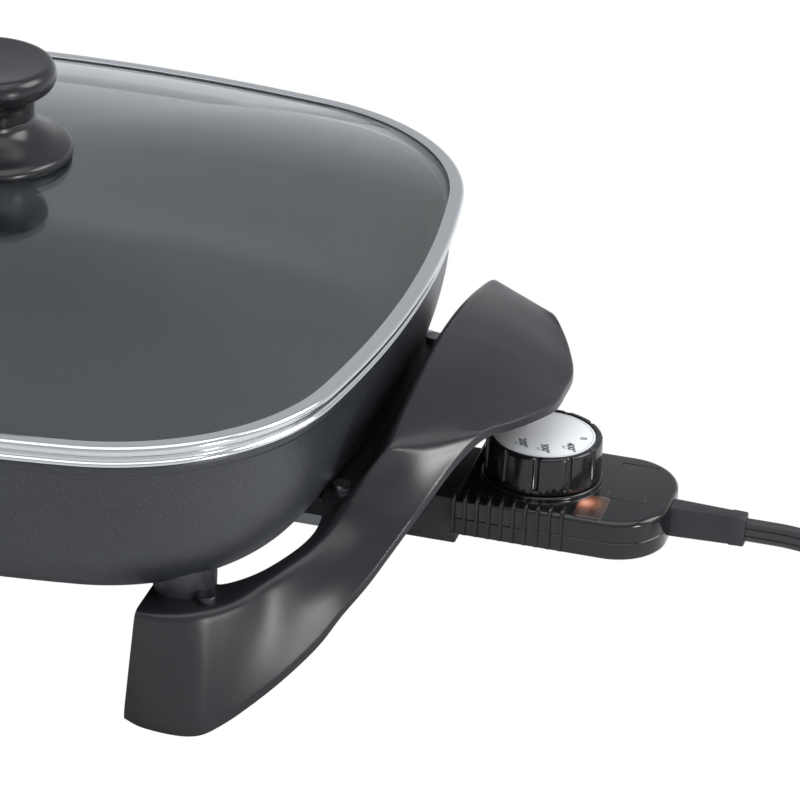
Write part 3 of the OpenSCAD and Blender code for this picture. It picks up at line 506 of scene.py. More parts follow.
def make_pan(coat):
    """Cast pan. Its section is in (inset, z), up the outside and down the inside."""
    top = RIM_Z
    round_z = LEG_HEIGHT + ROUND_H
    turns = [math.radians(90 * k / ROUND_STEPS) for k in range(1, ROUND_STEPS + 1)]
    outer = [(WALL_IN + ROUND_W * (1 - math.cos(a)), round_z - ROUND_H * math.sin(a))
             for a in reversed(turns)]
    outer += [(WALL_IN, round_z), (1.1, top - 4.6), (0.9, top - 4.1), (0.2, top - 3.4), (0, top - 3),
              (0, top - 0.9), (0.3, top - 0.3), (0.9, top)]
    inner = [(3.4, top), (4.0, top - 0.3), (4.3, top - 0.9), (WALL_IN + PAN_WALL, round_z)]
    inner += [(WALL_IN + PAN_WALL + (ROUND_W - ROUND_LESS) * (1 - math.cos(a)),
               round_z - (ROUND_H - PAN_FLOOR) * math.sin(a)) for a in turns]
    rings = [outline(inset, z) for inset, z in outer + inner]
    piece("pan_casting", skin(rings), coat, "skillet", replaces=("pan",), sharp=50)


# ------------------------------------------------------------------ lid

BAND_LOW, BAND_TOP = (corner[2] for corner in node_box("lid_band"))
BAND_SLOT = 4               # from the band's top down to the ledge under the glass


def make_band(steel):
    """Rolled steel band round the glass. Its section is in (inset from the band's outline, z)."""
    low, top, slot = BAND_LOW, BAND_TOP, BAND_TOP - BAND_SLOT
    profile = [(5.25, top - 0.8), (5.25, top), (0.9, top), (0.0, top - 1.2), (0.0, top - 2.9),
               (1.9, low + 3), (2.3, low + 1.9), (1.3, low + 0.9), (1.3, low), (4.3, low),
               (4.3, slot - 1.4), (5.25, slot - 0.8), (5.25, slot), (2.6, slot), (2.6, top - 0.8)]
    radii = [0.15, 0.6, 1.1, 1.1, 1.0, 1.4, 1.0, 0.5, 0.35, 0.3, 0.3, 0.2, 0.2, 0, 0]
    flat = rounded(profile, radii, steps=4, closed=True)
    rings = [outline(p[0] - LID_OVERHANG, p[1]) for p in flat]
    piece("steel_band", skin(list(reversed(rings)), loop=True), steel, "lid", replaces=("lid_band",),
          sharp=70)


GLASS_T = 3.0
GLASS_EDGE = 2.7            # the glass's edge, in the band's slot
GLASS_DOWN = 0.9            # from the band's top down to the glass
GLASS_BORE = 3.5
DOME_IN = 5.35              # where the dome starts, in from the band's outline
DOME_STEPS = 40
DOME_POWER = 1.8
CROWN_R = 12.0              # radius of the round that the outline turns into under the knob


def make_glass(glass):
    """Domed lid glass with a bore for the knob's screw."""
    edge_z = BAND_TOP - GLASS_DOWN
    rise = GLASS_TOP - edge_z
    shares = [k / DOME_STEPS for k in range(DOME_STEPS + 1)]
    bored = GLASS_BORE / CROWN_R

    def dome(share, z):
        """Ring of the dome, a share of the way in to the crown. z is the dome's edge."""
        return eased(DOME_IN - LID_OVERHANG, CROWN_R, share, z + rise * (1 - (1 - share) ** DOME_POWER))

    under = [dome(s, edge_z - GLASS_T) for s in reversed(shares)]
    over = [dome(s, edge_z) for s in shares]
    hole_low = [Vector((p.x * bored, p.y * bored, p.z)) for p in under[0]]
    hole_high = [Vector((p.x * bored, p.y * bored, p.z)) for p in over[-1]]
    edge = [outline(GLASS_EDGE - LID_OVERHANG, edge_z - GLASS_T), outline(GLASS_EDGE - LID_OVERHANG, edge_z)]
    piece("glass_dome", skin([hole_low] + under + edge + over + [hole_high], loop=True), glass, "lid",
          replaces=("lid_glass",), sharp=60)


NECK_R = 17.0
BASE_BORE = 2.7
GRIP_BORE = 2.5
GRIP_BORE_DEPTH = 8.4


def make_knob(plastic):
    """The knob's saucer and its grip, each spun from a profile of (radius, z)."""
    s, n, z = SAUCER_R, NECK_R, KNOB_Z
    base = [(BASE_BORE, z), (s - 6.8, z), (s - 3.8, z - 0.6), (s - 0.5, z - 0.6), (s, z),
            (s - 0.1, z + 2.2), (s - 1.3, z + 3.5), (s - 5.8, z + 5.4), (n + 3, z + 8.8),
            (n + 0.4, z + 11.6), (n, GRIP_Z), (BASE_BORE, GRIP_Z)]
    radii = [0, 0.3, 0.3, 0.4, 0.6, 1.4, 1.6, 5, 4, 2.2, 0.3, 0]
    profile = rounded(base, radii, steps=6)
    piece("knob_saucer", revolve(profile, loop=True), plastic, "lid", replaces=("knob_base",),
          sharp=60)
    r, g, t = KNOB_R, GRIP_Z, KNOB_TOP
    grip = [(GRIP_BORE, g), (n, g), (n, g + 5.5), (n + 2, g + 8), (r - 2, g + 10), (r - 0.4, g + 12),
            (r, g + 14.5), (r - 0.5, t - 2.2), (r - 1.8, t - 0.5), (r - 3.2, t), (12, t - 0.8), (0, t - 1)]
    radii = [0, 0.3, 2.5, 2, 2.4, 1.6, 2, 1.2, 0.9, 1.0, 8, 0]
    profile = rounded(grip, radii, steps=6)
    bore_end = [(0, g + GRIP_BORE_DEPTH), (GRIP_BORE, g + GRIP_BORE_DEPTH)]
    piece("knob_cap", revolve(bore_end + profile), plastic, "lid", replaces=("knob_grip",),
          sharp=60)


# ------------------------------------------------------------------ handles

HANDLE_WALL = 2.8
WALL_EDGE = 0.45            # rounding of the wall's edges
HANDLE_EDGE = 3.2           # height of the upright rim along the face's lowest edge
BEND_R = 1.4
RIDGE_R = 3.4
RIM_R = 1.0
FACE_STEPS = 6
# The right handle's stations, from the end of the front foot to the middle of the grip: the shelf's
# edge next to the pan, the shelf's bend, the ridge, the middle of the face and the lowest edge
FRONT_HALF = [
    [(100, -98, 41.5), (100.5, -112, 41.5), (100.5, -131.5, 41.5), (99, -132, 21), (97.5, -131.5, 0)],
    [(107, -98, 41.5), (108, -112, 41.5), (108, -131, 41.5), (106.5, -133.3, 21), (105, -135.3, 0)],
    [(113, -98.5, 41.5), (114.5, -110, 41.5), (115, -128.6, 41.5), (116, -133, 21), (117, -136.5, 0)],
    [(117, -100.5, 41.5), (119, -109, 41.5), (121, -125, 41.5), (123, -130, 21), (124.5, -134, 0)],
    [(120.6, -104.5, 41.5), (122.5, -108.5, 41.5), (126.6, -119.7, 41.5), (128, -125, 21.5),
     (129.6, -128, 1)],
    [(126.2, -103.5, 43), (128, -106.2, 43), (132.7, -112.7, 42.6), (134.6, -117, 24.5), (136.4, -120.9, 5)],
    [(132.5, -99.3, 45), (133.8, -101.2, 45), (137.2, -105.2, 44.6), (142, -108.2, 29), (146, -110.8, 12.5)],
    [(137.8, -94.5, 47.5), (139, -95.9, 47.5), (142.2, -98.6, 47.2), (149, -100.4, 35), (155, -99.9, 21.5)],
    [(143.2, -87.4, 50.5), (144.4, -88.6, 50.5), (147.6, -91, 50.3), (155, -93, 41), (160.9, -92.3, 30.5)],
    [(146.6, -81.2, 53.5), (147.9, -82.3, 53.5), (151.2, -84.4, 54), (160, -86, 48), (167.4, -85.8, 39.5)],
    [(147.6, -75.4, 56.5), (149.6, -76.6, 56.7), (153.2, -78.4, 58.4), (164, -79.6, 55), (173.2, -78.6, 49)],
    [(146.9, -70.4, 60), (151, -71.6, 60), (155.6, -74.4, 64), (168, -74.6, 61.5), (178, -72.2, 57)],
    [(145.3, -66.5, 61.5), (152.8, -67.5, 61.5), (161, -72.6, 74), (173.2, -71.2, 71.6), (183.8, -66.2, 67)],
    [(145.6, -61.5, 61.5), (154, -62.5, 61.5), (165.6, -72.2, 81.6), (178.4, -66.2, 79.6), (190, -57, 76.5)],
    [(145.9, -56, 61.5), (154.6, -57.5, 61.5), (168, -70.4, 85.8), (182.8, -60, 85.2), (196.3, -48.7, 82.6)],
    [(146.6, -48, 61.5), (154.6, -49.5, 61.5), (168, -57.5, 89.4), (186, -48, 88.6), (202.9, -37.6, 81.8)],
    [(147.6, -35, 61.5), (154.4, -36, 61.5), (168, -39.5, 93.4), (188.8, -33, 90.6), (208.6, -25, 80.4)],
    [(148.5, -18, 61.5), (154.2, -18.5, 61.5), (167.7, -20, 95.8), (191, -17, 92), (212.6, -12.5, 79.2)],
    [(148.9, 0, 61.5), (154, 0, 61.5), (167.5, 0, 96.5), (191.4, 0, 92.6), (212.9, 0, 78.8)]]
ROW_STEPS = 6
CREASE = 11                 # the station along which the grip folds out of the leg


def face_row(points):
    """A row of the handle's outside, from the shelf's edge over the ridge to the lowest edge."""
    shelf, fold, ridge, middle, low = points
    drop = low + Vector((0, 0, HANDLE_EDGE))
    fold_points = eased_corner(shelf, fold, ridge, BEND_R, 3)
    ridge_points = eased_corner(fold, ridge, middle, RIDGE_R, 6)
    start = ridge_points[-1]
    face = [between(ridge, start, middle, drop, k / FACE_STEPS) for k in range(1, FACE_STEPS)]
    face += [between(ridge, middle, drop, drop, k / FACE_STEPS) for k in range(FACE_STEPS)]
    edge_points = eased_corner(face[-1], drop, low, RIM_R, 3)
    return [shelf] + fold_points + ridge_points + face + edge_points + [low]


def handle_mesh():
    """The right handle's outside, as an open skin from the front foot to the rear one."""
    columns = []
    for k in range(5):
        places = [station[k] for station in FRONT_HALF]
        if k < 2:
            columns.append(smooth_row(places, ROW_STEPS))
        else:
            leg = smooth_row(places[:CREASE + 1], ROW_STEPS)
            grip = smooth_row(places[CREASE:], ROW_STEPS)
            columns.append(leg[:-1] + grip)
    rows = [face_row([column[i] for column in columns]) for i in range(len(columns[0]))]
    rear = [[Vector((p.x, -p.y, p.z)) for p in row] for row in reversed(rows[:-1])]
    return sheet(rows + rear)


def solid(thing, thickness, edge):
    """Gives an open skin its wall, inwards, and rounds the wall's edges."""
    wall = thing.modifiers.new("wall", "SOLIDIFY")
    wall.thickness = thickness * MM
    wall.offset = -1
    wall.use_even_offset = True
    wall.use_quality_normals = True
    rounding = thing.modifiers.new("edge", "BEVEL")
    rounding.width = edge * MM
    rounding.segments = 2
    rounding.limit_method = "ANGLE"
    rounding.angle_limit = math.radians(60)


def make_handles(plastic):
    """The right handle and its mirror image on the left."""
    for name, node, side in (("handle_right", "right_handle", 1), ("handle_left", "left_handle", -1)):
        bm = handle_mesh()
        for v in bm.verts:
            v.co.x *= side
        if side < 0:
            bmesh.ops.reverse_faces(bm, faces=bm.faces[:])
        thing = piece(name, bm, plastic, "skillet", replaces=(node,), sharp=50,
                      weld=False)
        solid(thing, HANDLE_WALL, WALL_EDGE)


POST_C = 109.6              # a leg post's middle, in x and y
BUMP_AT = (POST_C + 11, POST_C + 7.2)
BUMP_R = 3.2
BUMP_H = 2.5
SHELF_Z = LEG_HEIGHT - 1.5


def make_bumps(plastic):
    """Small round pads on the shelf beside each post."""
    low, top = SHELF_Z - 0.5, SHELF_Z + BUMP_H
    profile = rounded([(0, low), (BUMP_R, low), (BUMP_R, top), (0, top)], [0, 0, 0.8, 0], 4)
    parts = []
    for sx in (-1, 1):
        for sy in (-1, 1):
            parts.append(revolve([tuple(p) for p in profile], (sx * BUMP_AT[0], sy * BUMP_AT[1]), 32))
    piece("shelf_bumps", joined(*parts), plastic, "skillet")


# ------------------------------------------------------------------ control

PROBE_X0 = LOWER_LOW[0]
PROBE_X1 = LOWER_HIGH[0]
PROBE_Z0 = LOWER_LOW[2]
PROBE_ZM = LOWER_HIGH[2]
PROBE_Z1 = PROBE_ZM + 8
PROBE_HALF = 26.2
FAR_R = 19.0                # corners of the plan at the lead's end and at the nose's end
NEAR_R = 2.0
PLAN_STEPS = 18
TOP_R = 2.2                 # rounding of the housing's top edge
COLLAR_R = DIAL_R + 0.6
COLLAR_TOP = node_box("probe_upper")[1][2]
RIB_PITCH = 4.29
RIB_XS = [PROBE_X0 + 0.5] + [PROBE_X0 + 4.5 + RIB_PITCH * k for k in range(9)]
RIB_T = 1.2
RIB_OUT = 1.2               # how far a rib stands out of the housing's side
RIB_UP = 1.9                # how far it stands above the housing's top
RIB_ROUND = 0.42


def plan(inset, z):
    """The housing's plan, drawn in by inset: small near corners, large far corners."""
    near_x, near_y = PROBE_X0 + NEAR_R, PROBE_HALF - NEAR_R
    far_x, far_y = PROBE_X1 - FAR_R, PROBE_HALF - FAR_R
    ring = []
    for x, y, r, first in ((near_x, -near_y, NEAR_R, 180), (far_x, -far_y, FAR_R, 270),
                           (far_x, far_y, FAR_R, 0), (near_x, near_y, NEAR_R, 90)):
        past = max(inset - r, 0)        # an inset larger than the corner moves its centre inwards
        reach = max(r - inset, 0.02)
        for k in range(PLAN_STEPS + 1):
            a = math.radians(first + 90 * k / PLAN_STEPS)
            ring.append(Vector((x + past + reach * math.cos(a),
                                y - math.copysign(past, y) + reach * math.sin(a), z)))
    return ring


def make_upper(plastic):
    """Upper housing with the dial's collar, the ribs and the empty marked field."""
    turns = [math.radians(15 * k) for k in range(7)]
    outside = [(0.25, PROBE_ZM), (0.0, PROBE_ZM + 0.25), (0.0, PROBE_Z1 - TOP_R)]
    outside += [(TOP_R * (1 - math.cos(a)), PROBE_Z1 - TOP_R + TOP_R * math.sin(a)) for a in turns[1:]]
    shell = skin([plan(i, z) for i, z in outside])
    collar = [(2, COLLAR_TOP - 1), (2, COLLAR_TOP), (COLLAR_R - 0.5, COLLAR_TOP),
              (COLLAR_R, COLLAR_TOP - 0.6), (COLLAR_R, PROBE_Z1 + 0.5), (COLLAR_R + 0.6, PROBE_Z1 - 0.2),
              (2, PROBE_Z1 - 0.2)]
    ring = revolve([tuple(p) for p in rounded(collar, [0, 0, 0.4, 0.4, 0.4, 0, 0], 4)], (DIAL_X, 0))
    ribs = [rib(x, side) for x in RIB_XS for side in (-1, 1)]
    piece("housing_upper", joined(shell, ring, *ribs, mark_line()), plastic, "probe",
          replaces=("probe_upper",), weld=False)


def rib(x, side):
    """Upright fin on the housing's side, which runs over the top edge and ends in a round nose."""
    inner, outer, top = PROBE_HALF - 4.4, PROBE_HALF + RIB_OUT, PROBE_Z1 + RIB_UP
    corners = [(inner, PROBE_ZM, 0), (outer, PROBE_ZM, 0), (outer, top, 0), (inner, top, 0)]
    flat = rounded(corners, [0, 0, 2.6, 1.6], 6, closed=True)
    bm = skin([[(at, side * p[0], p[1]) for p in flat] for at in (x, x + RIB_T)])
    bmesh.ops.recalc_face_normals(bm, faces=bm.faces[:])
    bmesh.ops.bevel(bm, geom=bm.edges[:], offset=RIB_ROUND, segments=3, profile=0.5, affect="EDGES",
                    material=-1, clamp_overlap=True)
    return bm


MARK_LOW = (PROBE_X0 + 50.5, -8.0)
MARK_HIGH = (PROBE_X0 + 64.1, 20.0)
MARK_W = 0.45
MARK_H = 0.12


def mark_line():
    """Thin raised line round the empty field on the housing's top."""
    x0, y0 = MARK_LOW
    x1, y1 = MARK_HIGH
    bars = [((x0, y0), (x1, y0 + MARK_W)), ((x0, y1 - MARK_W), (x1, y1)),
            ((x0, y0), (x0 + MARK_W, y1)), ((x1 - MARK_W, y0), (x1, y1))]
    return joined(*[box((*a, PROBE_Z1 - 0.1), (*b, PROBE_Z1 + MARK_H), MARK_H / 2, 1) for a, b in bars])


def make_lower(plastic):
    """Lower housing, on which the ribs run down and fade into the bottom edge."""
    low = [(1.0, PROBE_Z0), (0.4, PROBE_Z0 + 0.2), (0.1, PROBE_Z0 + 0.5), (0.0, PROBE_Z0 + 1.0),
           (0.0, PROBE_ZM - 0.25), (0.25, PROBE_ZM)]
    parts = [skin([plan(i, z) for i, z in low])]
    for x in RIB_XS:
        for side in (-1, 1):
            inner, outer = PROBE_HALF - 3, PROBE_HALF + RIB_OUT
            flat = [(inner, PROBE_Z0 + 0.1), (outer - 1.6, PROBE_Z0 + 0.1), (outer - 0.4, PROBE_Z0 + 0.8),
                    (outer, PROBE_Z0 + 2.2), (outer, PROBE_ZM), (inner, PROBE_ZM)]
            parts.append(skin([[(at, side * y, z) for y, z in flat] for at in (x, x + RIB_T)]))
    piece("housing_lower", joined(*parts), plastic, "probe", replaces=("probe_lower",),
          weld=False)


LENS_R = 1.6
LENS_GAP = 0.4              # between the dial's collar and the lens


def make_lens(lens):
    """Lens on the edge of the housing's top, cut by the dial's collar."""
    x0, x1, y0, y1 = LENS_LOW[0], LENS_HIGH[0], LENS_LOW[1], LENS_HIGH[1]
    ring = []
    cut_y = [y0 + (y1 - y0) * k / 10 for k in range(11)]
    for x, y, first in ((x1, y1, 0), (x0, y1, 90), (x0, y0, 180), (x1, y0, 270)):
        cx = x - math.copysign(LENS_R, x - (x0 + x1) / 2)
        cy = y - math.copysign(LENS_R, y - (y0 + y1) / 2)
        for k in range(7):
            a = math.radians(first + 15 * k)
            ring.append([cx + LENS_R * math.cos(a), cy + LENS_R * math.sin(a)])
        if first == 90:
            ring += [[x0, y] for y in reversed(cut_y[2:-2])]
    for p in ring:
        edge = DIAL_X + math.sqrt(max((COLLAR_R + LENS_GAP) ** 2 - p[1] ** 2, 0))
        p[0] = min(max(p[0], edge), x1)
    top = LENS_HIGH[2]
    middle = Vector(((x0 + x1) / 2 + 1, (y0 + y1) / 2))

    def level(inset, z):
        """The lens's outline, drawn in towards its middle, at height z."""
        along, across = 1 - inset / 6, 1 - inset / 8
        return [Vector((middle.x + (p[0] - middle.x) * along, middle.y + (p[1] - middle.y) * across, z))
                for p in ring]

    bm = skin([level(0, top - 2.2), level(0, top - 0.7), level(0.15, top - 0.3), level(0.6, top - 0.05),
               level(1.6, top)])
    piece("pilot_lens", bm, lens, "probe", replaces=("lamp_lens",), sharp=60)


NOSE_HALF = 20.5
NOSE_TIP = 11               # length of its narrower tip


def make_nose(plastic):
    """Nose block at the skillet's end of the control, with a narrower tip."""
    low, high = node_box("probe_nose")
    tip_half = NOSE_HALF - 0.5
    front = box((low[0], -tip_half, low[2] + 1), (low[0] + NOSE_TIP, tip_half, high[2] - 1.7), 0.6)
    main = box((low[0] + NOSE_TIP - 0.5, -NOSE_HALF, low[2]), (PROBE_X0 + 1, NOSE_HALF, high[2]), 0.8)
    piece("nose_block", joined(front, main), plastic, "probe", replaces=("probe_nose",),
          weld=False)


RELIEF_Y = 3.6              # half its width and half its height at the root
RELIEF_Z = 5.9
RELIEF_R = 1.0
RELIEF_TAPER = 0.3


def make_relief(rubber):
    """Strain relief: a tapered sleeve with a raised ring at its mouth."""
    stations = [(PROBE_X1 - 1.9, 0.0), (PROBE_X1 + 0.3, 0.0), (PROBE_X1 + 2.4, 0.0), (LEAD_X - 5.6, 0.18),
                (LEAD_X - 5.2, 0.0), (LEAD_X - 0.5, 0.05), (LEAD_X - 0.1, 0.3), (LEAD_X, 0.8)]
    rings = []
    for x, inset in stations:
        taper = max(RELIEF_TAPER * (x - PROBE_X1) / (LEAD_X - PROBE_X1), 0)
        w, h, r = RELIEF_Y - taper - inset, RELIEF_Z - taper - inset, RELIEF_R
        ring = []
        for sy, sz, first in ((1, 1, 0), (-1, 1, 90), (-1, -1, 180), (1, -1, 270)):
            for k in range(5):
                t = math.radians(first + 22.5 * k)
                ring.append(Vector((x, sy * (w - r) + r * math.cos(t),
                                    LEAD_Z + sz * (h - r) + r * math.sin(t))))
        rings.append(ring)
    piece("relief_sleeve", skin(rings), rubber, "probe", replaces=("strain_relief",))


# ------------------------------------------------------------------ dial

GROOVES = 11
GROOVE_R = 1.25
GROOVE_DEPTH = 0.9          # as a share of GROOVE_R
GROOVE_TURN = 14.0          # where the first groove is, in degrees
DIAL_TAPER = 0.3
SKIRT_H = 2                 # the plain rim below the grooves
DIAL_Z0 = DIAL_LOW[2]
DIAL_Z1 = DIAL_HIGH[2]
PLATE_R = DIAL_R - 2.8
PLATE_TOP = node_box("dial_plate")[1][2]


def grooved(inset, z, depth=1.0):
    """Ring round the dial's side, drawn in by inset, with its grooves to a share of their depth."""
    radius = DIAL_R - DIAL_TAPER * (z - DIAL_Z0) / (DIAL_Z1 - DIAL_Z0) - inset
    step = 180 / GROOVES
    half = math.degrees(math.asin(GROOVE_R / radius))
    ring = []
    for k in range(GROOVES):
        mid = GROOVE_TURN + 360 * k / GROOVES
        places = [(mid - step + (step - half) * j / 6, 0.0) for j in range(6)]
        places += [(mid - half * math.cos(t), math.sin(t)) for t in map(math.radians, range(0, 181, 18))]
        places += [(mid + half + (step - half) * j / 6, 0.0) for j in range(1, 6)]
        for angle, share in places:
            a, r = math.radians(angle), radius - GROOVE_R * GROOVE_DEPTH * share * depth
            ring.append(Vector((DIAL_X + r * math.cos(a), r * math.sin(a), z)))
    return ring


def make_dial(plastic):
    """Dial knob: a plain skirt, a grooved side and a rounded top edge that holds the plate."""
    floor = DIAL_Z0 + SKIRT_H
    rings = [grooved(0.6, DIAL_Z0, 0), grooved(0.15, DIAL_Z0 + 0.25, 0), grooved(0, DIAL_Z0 + 0.7, 0),
             grooved(0, floor, 0), grooved(0, floor + 0.04, 0.06), grooved(0, floor + 0.16, 0.94),
             grooved(0, floor + 0.22, 1), grooved(0, DIAL_Z1 - 1.2, 1), grooved(0.15, DIAL_Z1 - 0.6, 0.95),
             grooved(0.5, DIAL_Z1 - 0.15, 0.8), grooved(1.0, DIAL_Z1, 0.4), grooved(1.4, DIAL_Z1, 0)]
    lip = DIAL_R - DIAL_TAPER
    rings += [grooved(lip - PLATE_R - 0.35, DIAL_Z1, 0), grooved(lip - PLATE_R - 0.08, DIAL_Z1 - 0.18, 0),
              grooved(lip - PLATE_R - 0.05, DIAL_Z1 - 0.9, 0)]
    piece("dial_body", skin(rings), plastic, "dial", replaces=("dial_knob",), sharp=45)


def make_plate(metal):
    """Round plate with a small chamfer, let into the dial's top."""
    z = PLATE_TOP
    profile = [(0, z - 0.55), (PLATE_R, z - 0.55), (PLATE_R, z - 0.1), (PLATE_R - 0.15, z), (0, z)]
    piece("dial_face", revolve(profile, (DIAL_X, 0)), metal, "dial", replaces=("dial_plate",))


TEXT_TURN = -72.0           # which way the numbers read, in degrees
SMALL_DOWN = 2.5            # from a large number to the small one below it
SMALL_H = 1.1
CAPITAL = 0.7               # a digit's height as a share of the font's size
INK_T = 0.02
INK_BOLD = 0.11             # how much wider the strokes are made, per millimetre of height
# Plain numbers on the plate: the text, x and y from the dial's middle, and the height
NUMBERS = [("400\u00b0", 10.9, -6.8, 2.5), ("300\u00b0", 2.6, -10.7, 2.5), ("200\u00b0", -5.6, -9.2, 2.5),
           ("0", 13.5, 1.3, 2.3)]
SMALL = ["204\u00b0", "149\u00b0", "93\u00b0"]


def number(text, x, y, height):
    """Mesh of a printed number, flat on the plate."""
    data = bpy.data.curves.new("number", "FONT")
    data.body = text
    data.size = height * MM / CAPITAL
    data.align_x = "CENTER"
    data.align_y = "CENTER"
    data.extrude = INK_T * MM
    data.offset = INK_BOLD * MM * height / 2
    thing = bpy.data.objects.new("number", data)
    place = frame_point((DIAL_X + x, y, PLATE_TOP + 0.01))
    thing.matrix_world = Matrix.Translation(place) @ Matrix.Rotation(math.radians(TEXT_TURN), 4, "Z")
    bpy.context.scene.collection.objects.link(thing)
    bpy.context.view_layer.update()
    mesh = bpy.data.meshes.new_from_object(thing.evaluated_get(bpy.context.evaluated_depsgraph_get()))
    mesh.transform(thing.matrix_world)
    bpy.data.objects.remove(thing)
    return mesh


def make_numbers(name, rows, ink):
    """One printed piece out of rows of (text, x, y, height)."""
    bm = bmesh.new()
    for row in rows:
        mesh = number(*row)
        bm.from_mesh(mesh)
        bpy.data.meshes.remove(mesh)
    whole = bpy.data.meshes.new(name)
    bm.to_mesh(whole)
    bm.free()
    printed = bpy.data.objects.new(name, whole)
    bpy.context.scene.collection.objects.link(printed)
    whole.materials.append(ink)
    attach(printed, "dial")


def small_rows():
    """The small second line below each large number."""
    a = math.radians(TEXT_TURN - 90)
    return [(text, x + SMALL_DOWN * math.cos(a), y + SMALL_DOWN * math.sin(a), SMALL_H)
            for text, (_, x, y, _) in zip(SMALL, NUMBERS)]


# ------------------------------------------------------------------ carried-over solids

def dress(names, material):
    """Gives CAD solids whose shape is right a finish."""
    for name in names:
        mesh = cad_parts[name].data
        mesh.materials.clear()
        mesh.materials.append(material)


# ------------------------------------------------------------------ stage

def seen_or_through(tree):
    """1 for a ray from the camera or one that has passed through the glass, and 0 for any other."""
    path = add(tree, "ShaderNodeLightPath")
    return maths(tree, "MAXIMUM", path.outputs["Is Camera Ray"], path.outputs["Is Transmission Ray"])


FLOOR_HALF = 6              # metres
FLOOR_Z = -0.0002           # just below the feet


def make_floor():
    """Floor that the camera sees as plain white, and that reflects pale light onto the object."""
    bm = bmesh.new()
    bmesh.ops.create_grid(bm, x_segments=1, y_segments=1, size=FLOOR_HALF)
    for v in bm.verts:
        v.co.z = FLOOR_Z
    mesh = bpy.data.meshes.new("floor")
    bm.to_mesh(mesh)
    bm.free()
    floor = bpy.data.objects.new("floor", mesh)
    bpy.context.scene.collection.objects.link(floor)
    material = bpy.data.materials.new("pale floor")
    material.use_nodes = True
    tree = material.node_tree
    tree.nodes.clear()
    seen = seen_or_through(tree)
    plain = add(tree, "ShaderNodeBsdfDiffuse", {"Color": colour("e8e9ea")})
    bright = add(tree, "ShaderNodeEmission", {"Color": colour("ffffff"), "Strength": 1.0})
    mixed = add(tree, "ShaderNodeMixShader", {0: seen, 1: plain.outputs[0], 2: bright.outputs[0]})
    add(tree, "ShaderNodeOutputMaterial", {"Surface": mixed.outputs[0]})
    mesh.materials.append(material)


def make_light(name, place, aim, width, height, power, spread=180):
    """Soft rectangular light at a place, facing another, both in metres in the frame.

    A grid in front of it narrows its light to a spread in degrees.
    """
    data = bpy.data.lights.new(name, "AREA")
    data.shape = "RECTANGLE"
    data.size = width
    data.size_y = height
    data.energy = power
    data.spread = math.radians(spread)
    lamp = bpy.data.objects.new(name, data)
    way = (Vector(aim) - Vector(place)).to_track_quat("-Z", "Y")
    lamp.matrix_world = Matrix.Translation(place) @ way.to_matrix().to_4x4()
    bpy.context.scene.collection.objects.link(lamp)


# The surround that light and reflections come from, by height: from the horizon to overhead
SURROUND = [(0.0, "e2e4e6"), (0.12, "d6d8da"), (0.3, "c0c3c6"), (0.6, "bcbfc3"), (1.0, "b4b7bb")]


def make_studio():
    """Pale surround, plain white to the camera, a large soft key, a side light and a low strip."""
    world = bpy.data.worlds.new("studio")
    bpy.context.scene.world = world
    world.use_nodes = True
    tree = world.node_tree
    tree.nodes.clear()
    way = add(tree, "ShaderNodeTexCoord").outputs["Generated"]
    height = add(tree, "ShaderNodeSeparateXYZ", {0: way}).outputs["Z"]
    shade = ramp(tree, height, SURROUND)
    back = add(tree, "ShaderNodeBackground", {"Color": shade, "Strength": 1.0})
    white = add(tree, "ShaderNodeBackground", {"Color": colour("ffffff"), "Strength": 1.0})
    seen = seen_or_through(tree)
    mixed = add(tree, "ShaderNodeMixShader", {0: seen, 1: back.outputs[0], 2: white.outputs[0]})
    add(tree, "ShaderNodeOutputWorld", {"Surface": mixed.outputs[0]})
    make_light("key", place=(0.25, -0.35, 1.7), aim=(0.1, 0, 0.05), width=1.8, height=1.8, power=15)
    make_light("side", place=(1.25, 0.35, 0.95), aim=(0.17, 0, 0.06), width=0.8, height=0.8, power=11)
    make_light("strip", place=(0.49, -0.25, 0.09), aim=(0.152, -0.06, 0.083), width=0.18, height=0.1,
               power=0.03, spread=23)
    bpy.context.scene.view_settings.view_transform = "Standard"


# ------------------------------------------------------------------ the scene

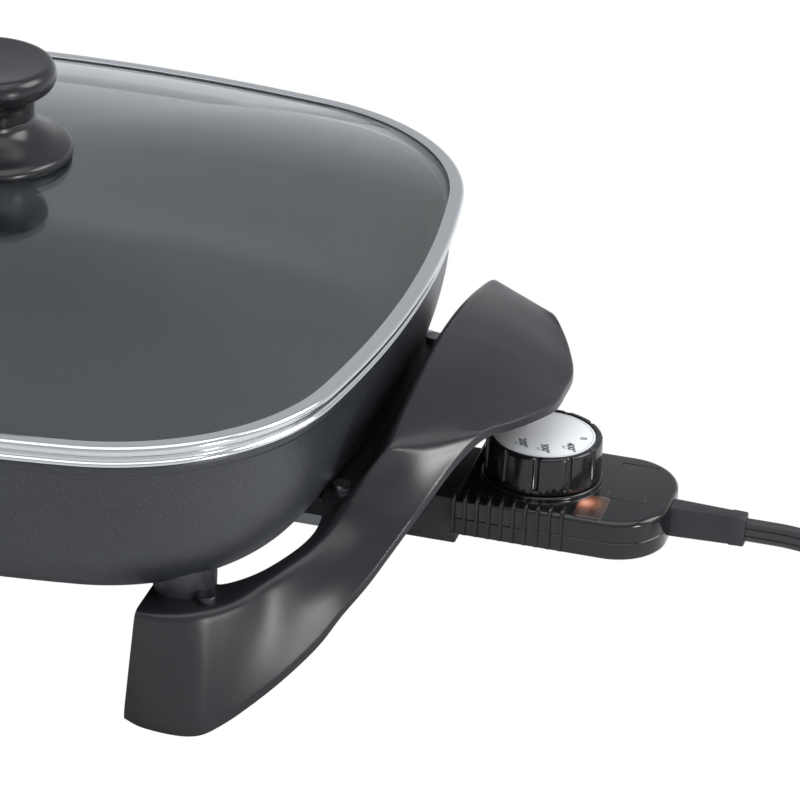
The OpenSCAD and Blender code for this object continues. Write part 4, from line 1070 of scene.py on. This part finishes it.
def main():
    """Makes the camera, the finishes and the pieces, and gives the carried-over solids their finish."""
    make_camera()
    rubber = surface("soft black rubber", "2b2c2e", 0.62, vary=0.04, grain=1500, bump=0.05)
    lead_rubber = surface("smooth black lead rubber", "303133", 0.5, vary=0.04, grain=1500, bump=0.04)
    make_lead(lead_rubber)
    make_studio()
    make_floor()

    coat = surface("charcoal non-stick coat", coated_tone, 0.36, vary=0.05, grain=1400, bump=0.1,
                   Specular_IOR_Level=0.6)
    steel = surface("polished steel", "d9dbdd", 0.13, 1.0, vary=0.03, grain=400, bump=0.01, rough_vary=0.03)
    plated = surface("plated steel", "b9bcbf", 0.3, 1.0, vary=0.06, grain=700, bump=0.03)
    cast = surface("bare cast aluminium", "9c9ea0", 0.5, 1.0, vary=0.08, grain=350, bump=0.25)
    sheath = surface("heat-dulled steel sheath", cooked_tone, 0.45, 0.9, vary=0.1, grain=500, bump=0.05)
    ceramic = surface("unglazed ceramic", "d8d3c6", 0.75, vary=0.04, grain=900, bump=0.1)
    brass = surface("drawn brass", "c7a964", 0.32, 1.0, vary=0.06, grain=600, bump=0.03)
    satin = surface("satin black handle plastic", "1d1e21", 0.3, vary=0.04, grain=1800, bump=0.05)
    knob_black = surface("soft gloss black plastic", "1b1c1f", 0.24, vary=0.03, grain=900, bump=0.02)
    gloss = surface("gloss black plastic", "17181a", 0.14, vary=0.03, grain=700, bump=0.01, rough_vary=0.03)
    matte = surface("matte black plastic", "2a2b2e", 0.5, vary=0.04, grain=1500, bump=0.06)
    plate = surface("satin pale plate", plate_tone, 0.5, 0.0, vary=0.02, grain=2500, bump=0.01)
    ink = surface("grey print", "4e5053", 0.5, vary=0.05, grain=2500, bump=0.0)
    pale_ink = surface("pale grey print", "b0b2b5", 0.5, vary=0.05, grain=2500, bump=0.0)
    red = surface("red wire sleeve", "a32c22", 0.4, vary=0.04, grain=1200, bump=0.02)
    glass = surface("clear tempered glass", "d6dcde", 0.02, vary=0.0, grain=100, bump=0.0, rough_vary=0.0,
                    Transmission_Weight=1.0, IOR=1.45)
    lamp = surface("clear lamp glass", "f2c890", 0.1, vary=0.0, grain=100, bump=0.0, rough_vary=0.0,
                   Transmission_Weight=0.6, Emission_Color=colour("ff8a3c"), Emission_Strength=2.0)
    # The lens's colour has the pilot lamp's glow painted into it, pale over the lamp.
    lens = surface("smoky orange lens plastic with painted glow", smoky_lens_and_painted_glow, 0.18, vary=0.04, grain=300, bump=0.02)

    make_pan(coat)
    make_band(steel)
    make_glass(glass)
    make_knob(knob_black)
    make_handles(satin)
    make_bumps(satin)
    make_upper(gloss)
    make_lower(gloss)
    make_lens(lens)
    make_nose(matte)
    make_relief(matte)
    make_dial(gloss)
    make_plate(plate)
    make_numbers("dial_numbers", NUMBERS, ink)
    make_numbers("dial_small_numbers", small_rows(), pale_ink)

    dress(("side_lugs", "leg_posts"), coat)
    dress(("element_bead", "sensor_well", "guard_rivets"), cast)
    dress(("heating_element",), sheath)
    dress(("element_seals", "thermostat_base"), ceramic)
    dress(("element_pins", "socket_guard", "leg_screws", "side_screws", "knob_screw", "knob_washer",
           "sensor_tube", "housing_screws", "dial_shaft"), plated)
    dress(("pin_receptacles", "bimetal_strip", "contact_arms", "shaft_bush", "plug_blades"), brass)
    dress(("pilot_lamp",), lamp)
    dress(("inner_leads",), red)
    dress(("knob_gasket", "plug_body"), rubber)


main()
